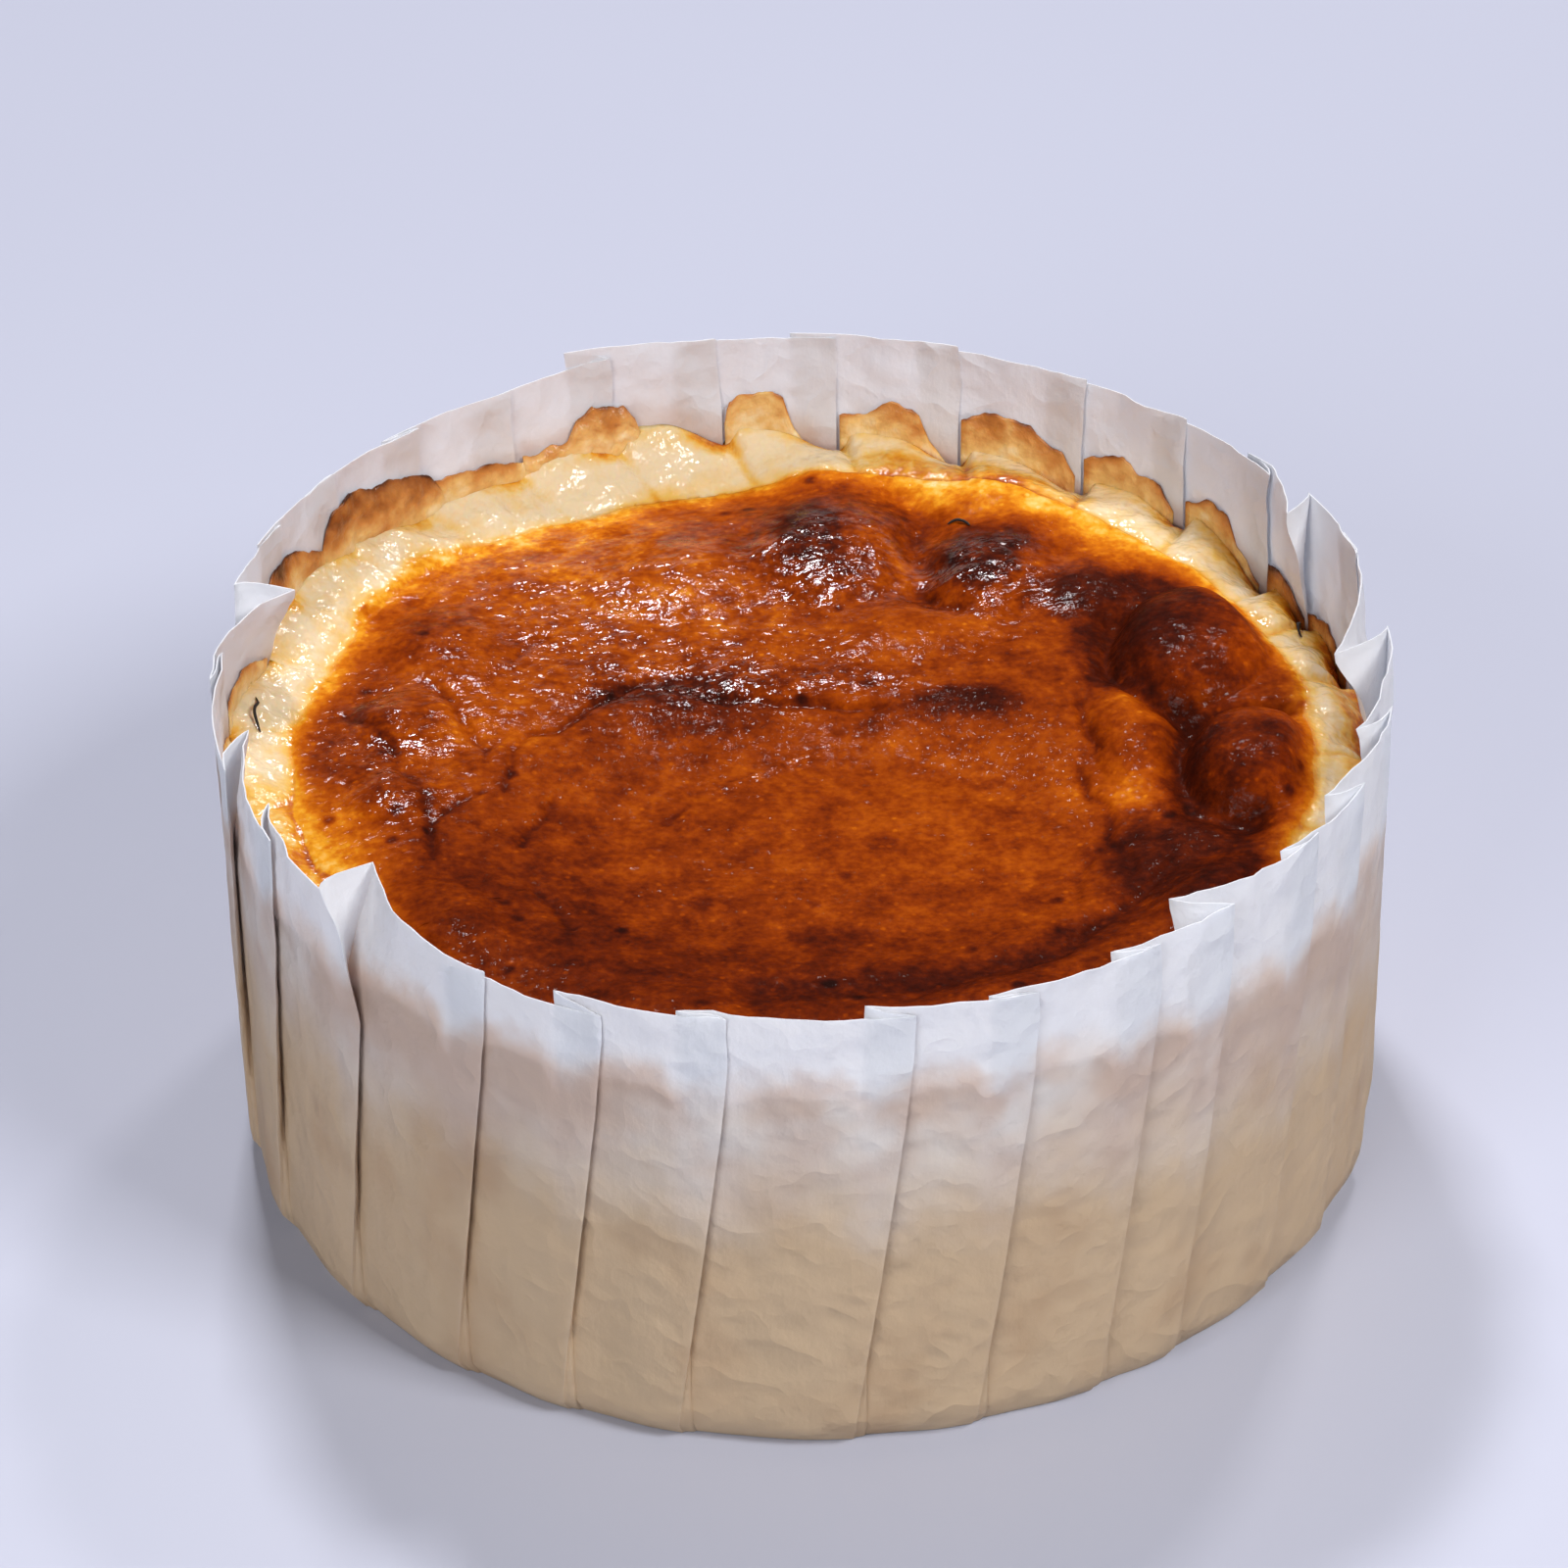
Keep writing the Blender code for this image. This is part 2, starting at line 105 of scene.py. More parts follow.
class Noise:
    """Seeded smooth noise over a plane, about one unit from one swell to the next."""

    SIZE = 128

    def __init__(self, seed: int) -> None:
        """Draws the slopes at the lattice points from a seed."""
        self._angles = np.random.default_rng(seed).uniform(0.0, math.tau, (self.SIZE, self.SIZE))

    def __call__(self, u: Array, v: Array) -> Array:
        """Reads the noise.

        Args:
            u: first coordinate of each point.
            v: second coordinate of each point.

        Returns:
            Values between about -1 and 1.
        """
        iu, iv = np.floor(u).astype(int), np.floor(v).astype(int)
        du, dv = u - iu, v - iv
        su, sv = (t * t * t * (t * (t * 6.0 - 15.0) + 10.0) for t in (du, dv))

        def corner(a: int, b: int) -> Array:
            """Slope of one lattice corner, met at the points."""
            angle = self._angles[(iu + a) % self.SIZE, (iv + b) % self.SIZE]
            return np.cos(angle) * (du - a) + np.sin(angle) * (dv - b)

        near = corner(0, 0) * (1.0 - su) + corner(1, 0) * su
        far = corner(0, 1) * (1.0 - su) + corner(1, 1) * su
        return 1.5 * (near * (1.0 - sv) + far * sv)

    def layered(self, u: Array, v: Array, layers: int) -> Array:
        """Sum of that many copies of the noise, each twice as fine and half as strong."""
        return sum(self(u * 2**k + 17.3 * k, v * 2**k + 9.1 * k) / 2**k for k in range(layers))


def seeded(seed: int) -> Noise:
    """A dataclass field that holds the noise of a seed."""
    return field(default_factory=lambda: Noise(seed))


# --- shader helpers -------------------------------------------------------------------------
def sign(operation: str, swapped: bool = False) -> Callable[["Value", object], "Value"]:
    """Makes the method behind an arithmetic sign.

    Args:
        operation: the Math node's operation.
        swapped: whether the other operand stands in front.

    Returns:
        The method.
    """

    def method(value: "Value", other: object) -> "Value":
        """Adds the Math node."""
        return value.combine(operation, *((other, value) if swapped else (value, other)))

    return method


class Value:
    """A number inside a material. Arithmetic on it adds Math nodes."""

    def __init__(self, shader: "Shader", socket: bpy.types.NodeSocket) -> None:
        """Wraps an output socket of one of the shader's nodes."""
        self.shader = shader
        self.socket = socket

    __add__, __radd__ = sign("ADD"), sign("ADD", swapped=True)
    __sub__, __rsub__ = sign("SUBTRACT"), sign("SUBTRACT", swapped=True)
    __mul__, __rmul__ = sign("MULTIPLY"), sign("MULTIPLY", swapped=True)
    at_most, at_least = sign("MINIMUM"), sign("MAXIMUM")

    def __abs__(self) -> "Value":
        """Size without its sign."""
        return self.combine("ABSOLUTE", self)

    def combine(self, operation: str, *operands: object) -> "Value":
        """Adds a Math node.

        Args:
            operation: the node's operation.
            operands: what it works on, Values or numbers.

        Returns:
            The node's output.
        """
        inputs = dict(enumerate(operands))
        node = self.shader.add("ShaderNodeMath", {"operation": operation}, inputs)
        return Value(self.shader, node.outputs[0])

    def step(self, low: float, high: float) -> "Value":
        """Smooth rise from 0 to 1.

        Args:
            low: value where the rise starts.
            high: value where it ends, which may be the lower one for a fall.

        Returns:
            The risen value.
        """
        flip = low > high
        ends = (high, low) if flip else (low, high)
        node = self.shader.add(
            "ShaderNodeMapRange",
            {"interpolation_type": "SMOOTHSTEP"},
            {"Value": self, "From Min": ends[0], "From Max": ends[1]},
        )
        risen = Value(self.shader, node.outputs["Result"])
        return 1.0 - risen if flip else risen


class Shader:
    """A node material that is built from Python expressions."""

    NOISE_GAIN = 2.6

    def __init__(self, name: str) -> None:
        """Starts an empty material.

        Args:
            name: its name.
        """
        self.material = bpy.data.materials.new(name)
        self.material.use_nodes = True
        self.tree = self.material.node_tree
        self.tree.nodes.clear()
        self.output = self.add("ShaderNodeOutputMaterial")
        place = self.add("ShaderNodeTexCoord")
        self.place = Value(self, place.outputs["Object"])

    def add(
        self, kind: str, settings: dict | None = None, inputs: dict | None = None
    ) -> bpy.types.Node:
        """Adds a node.

        Args:
            kind: the node's type name.
            settings: its properties, set before its sockets; a ramp's stops go under "stops".
            inputs: values, Values or sockets by socket name, identifier or number.

        Returns:
            The node.
        """
        node = self.tree.nodes.new(kind)
        for name, value in (settings or {}).items():
            if name == "stops":
                self._set_stops(node.color_ramp, value)
            else:
                setattr(node, name, value)
        for key, value in (inputs or {}).items():
            if isinstance(key, int):
                socket = node.inputs[key]
            else:
                socket = next(s for s in node.inputs if key in (s.identifier, s.name))
            if isinstance(value, Value):
                self.tree.links.new(value.socket, socket)
            elif isinstance(value, bpy.types.NodeSocket):
                self.tree.links.new(value, socket)
            else:
                socket.default_value = value
        return node

    @staticmethod
    def _set_stops(ramp: bpy.types.ColorRamp, stops: tuple) -> None:
        """Sets a ramp's stops.

        Args:
            ramp: the ramp.
            stops: (position, colour) pairs in rising order.
        """
        while len(ramp.elements) < len(stops):
            ramp.elements.new(1.0)
        for element, (position, colour) in zip(ramp.elements, stops):
            element.position = position
            element.color = colour

    def attribute(self, name: str) -> Value:
        """A number that the mesh carries at each vertex."""
        node = self.add("ShaderNodeAttribute", {"attribute_name": name})
        return Value(self, node.outputs["Fac"])

    def stretched(self, scale: tuple[float, float, float], turn: float = 0.0) -> Value:
        """The object's coordinates, turned about Z and then stretched.

        Args:
            scale: stretch along X, Y and Z.
            turn: turn about Z in degrees.

        Returns:
            The new coordinates.
        """
        turned = self.add(
            "ShaderNodeMapping",
            {"vector_type": "TEXTURE"},
            {"Vector": self.place, "Rotation": (0.0, 0.0, math.radians(turn))},
        )
        node = self.add("ShaderNodeMapping", None, {"Vector": turned.outputs[0], "Scale": scale})
        return Value(self, node.outputs[0])

    def noise(
        self, size: float, detail: float = 2.0, rough: float = 0.5, place: Value | None = None
    ) -> Value:
        """Noise centred on zero.

        Args:
            size: distance from one swell to the next, in metres, or in units of place.
            detail: how many finer layers it has.
            rough: how strong the finer layers are.
            place: the coordinates, if not the object's own.

        Returns:
            Values between about -1 and 1.
        """
        inputs = {"Scale": 1.0 / size, "Detail": detail, "Roughness": rough}
        inputs["Vector"] = place or self.place
        node = self.add("ShaderNodeTexNoise", None, inputs)
        return (Value(self, node.outputs["Fac"]) - 0.5) * self.NOISE_GAIN

    def cells(self, size: float) -> Value:
        """Distance to the nearest of scattered points, in units of their spacing in metres."""
        node = self.add("ShaderNodeTexVoronoi", None, {"Vector": self.place, "Scale": 1.0 / size})
        return Value(self, node.outputs["Distance"])

    def ramp(self, factor: Value, stops: tuple) -> Value:
        """A colour read from a ramp."""
        node = self.add("ShaderNodeValToRGB", {"stops": stops}, {"Fac": factor})
        return Value(self, node.outputs["Color"])

    def mix(self, factor: object, first: object, second: object) -> Value:
        """Mixes two colours.

        Args:
            factor: share of the second, a Value or a number.
            first: a colour or a Value.
            second: a colour or a Value.

        Returns:
            The mixed colour.
        """
        inputs = {"Factor_Float": factor, "A_Color": first, "B_Color": second}
        node = self.add("ShaderNodeMix", {"data_type": "RGBA"}, inputs)
        return Value(self, next(s for s in node.outputs if s.identifier == "Result_Color"))

    def bump(self, height: Value, depth: float) -> bpy.types.NodeSocket:
        """A normal bent by a height in units of depth, which is in metres."""
        node = self.add("ShaderNodeBump", None, {"Height": height, "Distance": depth})
        return node.outputs["Normal"]

    def surface(
        self,
        colour: object,
        rough: object,
        normal: bpy.types.NodeSocket | None = None,
        gloss: float = 0.5,
        softness: float = 0.0,
        spread: tuple[float, float, float] = (1.0, 0.5, 0.25),
        depth: float = 0.001,
    ) -> bpy.types.Node:
        """Adds the shader of a surface.

        Args:
            colour: the colour.
            rough: the roughness.
            normal: the bent normal, if it is bent.
            gloss: strength of the reflection.
            softness: share of the light that spreads inside.
            spread: how far red, green and blue light spread inside, in units of depth.
            depth: metres for one unit of spread.

        Returns:
            The shader node.
        """
        inputs = {
            "Base Color": colour,
            "Roughness": rough,
            "Specular IOR Level": gloss,
            "Subsurface Weight": softness,
            "Subsurface Radius": spread,
            "Subsurface Scale": depth,
        }
        if normal is not None:
            inputs["Normal"] = normal
        return self.add("ShaderNodeBsdfPrincipled", {"subsurface_method": "RANDOM_WALK"}, inputs)

    def blend(self, share: object, first: bpy.types.Node, second: bpy.types.Node) -> bpy.types.Node:
        """Adds a mix of two shaders, with that share of the second."""
        inputs = {0: share, 1: first.outputs[0], 2: second.outputs[0]}
        return self.add("ShaderNodeMixShader", None, inputs)

    def finish(self, surface: bpy.types.Node) -> bpy.types.Material:
        """Sends a shader node to the output and returns the material."""
        self.tree.links.new(surface.outputs[0], self.output.inputs["Surface"])
        return self.material


# --- mesh helpers ---------------------------------------------------------------------------
def deselect_all() -> None:
    """Leaves object mode and deselects everything."""
    if bpy.context.object and bpy.context.object.mode != "OBJECT":
        bpy.ops.object.mode_set(mode="OBJECT")
    bpy.ops.object.select_all(action="DESELECT")


def activate(obj: bpy.types.Object) -> None:
    """Makes the object the active one and the only one selected, in object mode.

    Args:
        obj: the object.
    """
    deselect_all()
    obj.select_set(True)
    bpy.context.view_layer.objects.active = obj


def weld(distance: float) -> None:
    """Merges the active mesh's doubles and leaves nothing selected, in edit mode.

    Args:
        distance: how near doubles lie to each other, in metres.
    """
    bpy.ops.object.mode_set(mode="EDIT")
    bpy.ops.mesh.select_mode(type="VERT")
    bpy.ops.mesh.select_all(action="SELECT")
    bpy.ops.mesh.remove_doubles(threshold=distance)
    bpy.ops.mesh.select_all(action="DESELECT")


def select_rim() -> None:
    """Selects the open edges alone, in edit mode."""
    bpy.ops.mesh.select_all(action="DESELECT")
    bpy.ops.mesh.select_non_manifold(extend=False)


def face_outwards() -> None:
    """Points the normals of the mesh in edit mode outwards and leaves edit mode."""
    bpy.ops.mesh.select_all(action="SELECT")
    bpy.ops.mesh.normals_make_consistent(inside=False)
    bpy.ops.object.mode_set(mode="OBJECT")


def new_grid(name: str, columns: int, rows: int) -> bpy.types.Object:
    """Adds a flat grid from -1 to 1 and names it.

    Args:
        name: the object's name.
        columns: cells along X.
        rows: cells along Y.

    Returns:
        The grid, active and selected.
    """
    deselect_all()
    bpy.ops.mesh.primitive_grid_add(x_subdivisions=columns, y_subdivisions=rows, size=2.0)
    grid = bpy.context.object
    grid.name = name
    grid.data.name = name
    return grid


def places_of(obj: bpy.types.Object) -> Array:
    """Reads the object's vertices.

    Args:
        obj: the object.

    Returns:
        Their places as (x, y, z) rows.
    """
    places = np.empty(len(obj.data.vertices) * 3)
    obj.data.vertices.foreach_get("co", places)
    return places.reshape(-1, 3)


def move_to(obj: bpy.types.Object, x: Array, y: Array, z: Array) -> None:
    """Moves the object's vertices to those places."""
    obj.data.vertices.foreach_set("co", np.column_stack((x, y, z)).ravel())
    obj.data.update()


def write_attribute(obj: bpy.types.Object, name: str, values: Array) -> None:
    """Stores a number at each vertex for the material to read."""
    layer = obj.data.attributes.new(name, "FLOAT", "POINT")
    layer.data.foreach_set("value", np.asarray(values, dtype=np.float32))


def wear(obj: bpy.types.Object, material: bpy.types.Material) -> None:
    """Gives the object that material alone."""
    obj.data.materials.clear()
    obj.data.materials.append(material)


def thicken(obj: bpy.types.Object, thickness: float, group: str = "") -> None:
    """Gives a sheet its thickness, half to each side.

    Args:
        obj: the sheet.
        thickness: the thickness in millimetres.
        group: the vertex group that holds each vertex's share of it, if it differs.
    """
    activate(obj)
    wall = obj.modifiers.new("Thickness", "SOLIDIFY")
    wall.thickness = thickness * MM
    wall.offset = 0.0
    wall.vertex_group = group
    bpy.ops.object.modifier_apply(modifier=wall.name)


# --- the pleated wall -----------------------------------------------------------------------
@dataclass(frozen=True)
class Pleat:
    """One pleat of the wall, with its lengths in millimetres.

    The azimuth in degrees is that of its inner fold edge, whose corner reaches the height top
    and leans in over the cake. The cut edge falls from there to the pleat's outer corner. The
    layer behind the fold edge has sprung open at the top by the width open."""

    azimuth: float
    top: float
    fall: float
    lean: float = 0.0
    open: float = 0.0


@dataclass(frozen=True)
class Pleats:
    """The gathered wall: where its folds stand, how deep they are and how high they reach."""

    pleats: tuple[Pleat, ...] = made(Pleat, (
        (0, 69.8, 0.3, 7), (15, 70, 0.2), (25, 71, 2, 4.4, 3), (33, 69.4, 1.2, 1),
        (46, 69.2, 0.4), (59, 69.8, 0.3), (73, 70.4, -0.5), (86, 70.2, -0.4), (98, 70.8, -1.7),
        (110, 70.4, 1.7), (121, 69.4, -0.5), (133, 69.6, -0.3), (145, 70.2, 0.1), (155, 69.7, 0.2),
        (164, 69.9, 1.6, 6.4, 3), (177, 68.6, 1.8, 0.7), (191, 69.5, 2.4, 3.9),
        (204, 68.8, 2, 1.8), (219, 70.2, 3.2, 6.6, 9), (234, 66, 0.8), (246, 67.3, 0.4),
        (258, 67.5, 0.8), (275, 68.3, 1.4), (287, 67.6, -0.3), (300, 68.3, 0.1, 1),
        (309, 70.3, 1.2, 4.3), (322, 69.5, 1.9, 1.4), (333, 69.5, 1.6, 2.8), (346, 68.8, 0.9, 3),
    ))  # fmt: skip
    heights: tuple[float, ...] = (0.2, 3.2, 27.0, 50.0, 61.0, 69.0)
    radii: tuple[float, ...] = (71.6, 73.7, 74.2, 74.45, 74.62, 74.7)
    depths: tuple[float, ...] = (0.7, 0.9, 1.3, 1.0, 0.8, 0.7)
    closing: tuple[float, ...] = (0.0, 0.0, 0.45, 0.85, 1.0, 1.0)
    leaning: tuple[float, ...] = (0.0, 0.0, 0.0, 0.0, 0.45, 1.0)
    flap: float = 6.0
    step: float = 1.6
    sway_most: float = 0.014
    crinkle: float = 0.26
    lean_drop: float = 0.3
    widest: float = 74.66
    waves: Noise = seeded(41)
    crinkles: Noise = seeded(47)

    @property
    def count(self) -> int:
        """How many pleats there are."""
        return len(self.pleats)

    @property
    def folds(self) -> Array:
        """Azimuths of the inner fold edges in radians, the first repeated a turn later."""
        angles = np.radians([pleat.azimuth for pleat in self.pleats])
        return np.append(angles, angles[0] + math.tau)

    def each(self, name: str) -> Array:
        """One value of every pleat, with the first repeated."""
        values = [getattr(pleat, name) for pleat in self.pleats]
        return np.array([*values, values[0]])

    def at(self, height: Array) -> tuple[Array, Array, Array]:
        """Wall radius, pleat depth and closing at heights in millimetres."""
        rows = (self.radii, self.depths, self.closing)
        return tuple(np.interp(height, self.heights, row) for row in rows)

    def reach(self, height: Array) -> Array:
        """How far past the inner fold edge the outer one lies, in radians."""
        radius, _, closed = self.at(height)
        return (self.flap * closed - self.step * (1.0 - closed)) / radius

    def lean_share(self, height: Array) -> Array:
        """Share of a corner's lean that shows at a height."""
        return np.interp(height, self.heights, self.leaning)

    def sway(self, fold: Array, height: Array) -> Array:
        """How far a fold edge wanders sideways above the cake, in radians."""
        free = smooth_step(57.0, 70.0, height)
        return self.sway_most * free * self.waves(fold * 3.3, height / 14.0)

    def ruffle(self, angle: Array, height: Array) -> Array:
        """Gives how far the paper's waves and crinkles carry it outwards.

        Args:
            angle: azimuths in radians, from 0 to a whole turn.
            height: heights in millimetres.

        Returns:
            The distances in millimetres.
        """
        free = smooth_step(50.0, 66.0, height)
        wave = (0.1 + 0.5 * free) * self.waves.layered(angle * 9.0, height / 13.0, 2)
        ridge = 1.0 - 2.0 * np.abs(self.crinkles(angle * 14.0, height / 9.0))
        return (wave + self.crinkle * (0.25 + free) * ridge) * smooth_step(1.0, 8.0, height)

    @staticmethod
    def rise(along: Array) -> Array:
        """Radial place on a panel, from 0 at the inner fold edge to 1 at the outer one."""
        return np.interp(along, (0.0, 0.3, 0.7, 1.0), (0.0, 0.13, 0.87, 1.0))

    def pleat_of(self, angle: Array) -> tuple[Array, Array]:
        """Finds the pleat at an azimuth.

        Args:
            angle: azimuths in radians.

        Returns:
            The pleat's number, and the share of the way from its fold edge to the next one.
        """
        folds = self.folds
        turned = (angle - folds[0]) % math.tau + folds[0]
        index = np.clip(np.searchsorted(folds, turned, side="right") - 1, 0, self.count - 1)
        return index, (turned - folds[index]) / (folds[index + 1] - folds[index])

    def inner_radius(self, angle: Array, height: Array) -> Array:
        """Radius of the innermost layer of paper, in millimetres.

        Args:
            angle: azimuths in radians.
            height: heights in millimetres.

        Returns:
            The radii.
        """
        folds = self.folds
        index, share = self.pleat_of(angle)
        after = (index + 1) % self.count
        moved = self.sway(index, height) * (1.0 - share) + self.sway(after, height) * share
        index, share = self.pleat_of(angle - moved)
        span = folds[index + 1] - folds[index]
        along = share * span / (span + np.maximum(self.reach(height), 0.0))
        radius, depth, _ = self.at(height)
        lean = self.each("lean")[index] * (1.0 - along) ** 2 * self.lean_share(height)
        inner = radius - depth * (1.0 - self.rise(along)) - lean
        return np.minimum(inner + self.ruffle(angle % math.tau, height), self.widest)

    def bridged_radius(self, angle: Array, height: Array, width: float) -> Array:
        """Radius of a skin that bridges the folds just inside the paper.

        Args:
            angle: azimuths in radians.
            height: heights in millimetres.
            width: how far it bridges to each side, in millimetres.

        Returns:
            The radii in millimetres, nowhere outside the paper.
        """
        step = width / 2.0 / self.radii[-1]
        nearest = [self.inner_radius(angle + k * step, height) for k in range(-4, 5)]
        return np.mean([np.min(nearest[k : k + 5], axis=0) for k in range(5)], axis=0)


# --- the cake's relief and baking -----------------------------------------------------------
@dataclass(frozen=True)
class Oval:
    """An oval on the cake's top, in millimetres, with a turn in degrees."""

    x: float
    y: float
    half_x: float
    half_y: float
    turn: float

    def away(self, x: Array, y: Array) -> Array:
        """Measures how far points lie from the oval's middle.

        Args:
            x: X of each point.
            y: Y of each point.

        Returns:
            The squared distances in units of the half sizes.
        """
        turn = math.radians(self.turn)
        dx, dy = x - self.x, y - self.y
        u = (dx * math.cos(turn) + dy * math.sin(turn)) / self.half_x
        v = (-dx * math.sin(turn) + dy * math.cos(turn)) / self.half_y
        return u * u + v * v


@dataclass(frozen=True)
class Lump(Oval):
    """A rounded puff of the crust or the ring, and how full its rounding is."""

    height: float
    fullness: float

    def rise(self, x: Array, y: Array) -> Array:
        """Height that the puff adds."""
        return self.height * np.clip(1.0 - self.away(x, y), 0.0, 1.0) ** self.fullness


@dataclass(frozen=True)
class Patch(Oval):
    """A darker or lighter patch of the crust, or a wet one."""

    amount: float

    def add(self, x: Array, y: Array) -> Array:
        """Baking or wetness that the patch adds or takes away."""
        return self.amount * np.exp(-(self.away(x, y) ** 1.5))


@dataclass(frozen=True)
class Line:
    """A crease or crack of the crust through points in millimetres."""

    points: Pairs
    depth: float
    half_width: float
    bake: float = 0.0

    def near(self, x: Array, y: Array) -> Array:
        """Tells how near points lie to the line.

        Args:
            x: X of each point.
            y: Y of each point.

        Returns:
            1 on the line, falling off to both sides.
        """
        nearest = np.full(np.shape(x), np.inf)
        for (ax, ay), (bx, by) in zip(self.points, self.points[1:]):
            length = (bx - ax) ** 2 + (by - ay) ** 2
            t = np.clip(((x - ax) * (bx - ax) + (y - ay) * (by - ay)) / length, 0.0, 1.0)
            nearest = np.minimum(nearest, np.hypot(x - ax - t * (bx - ax), y - ay - t * (by - ay)))
        return np.exp(-((nearest / self.half_width) ** 2))


def round_profile(angle: Array, knots: Pairs) -> Array:
    """Reads a value that goes round the cake.

    Args:
        angle: azimuths in radians.
        knots: (azimuth in degrees, millimetres) pairs in rising order, closed round.

    Returns:
        The values in millimetres.
    """
    azimuth = np.degrees(angle) % 360.0
    places = [knots[-1][0] - 360.0, *(a for a, _ in knots), knots[0][0] + 360.0]
    values = [knots[-1][1], *(v for _, v in knots), knots[0][1]]
    index = np.clip(np.searchsorted(places, azimuth, side="right") - 1, 0, len(places) - 2)
    low, high = np.take(places, index), np.take(places, index + 1)
    share = 0.5 - 0.5 * np.cos(math.pi * (azimuth - low) / (high - low))
    return np.take(values, index) * (1 - share) + np.take(values, index + 1) * share


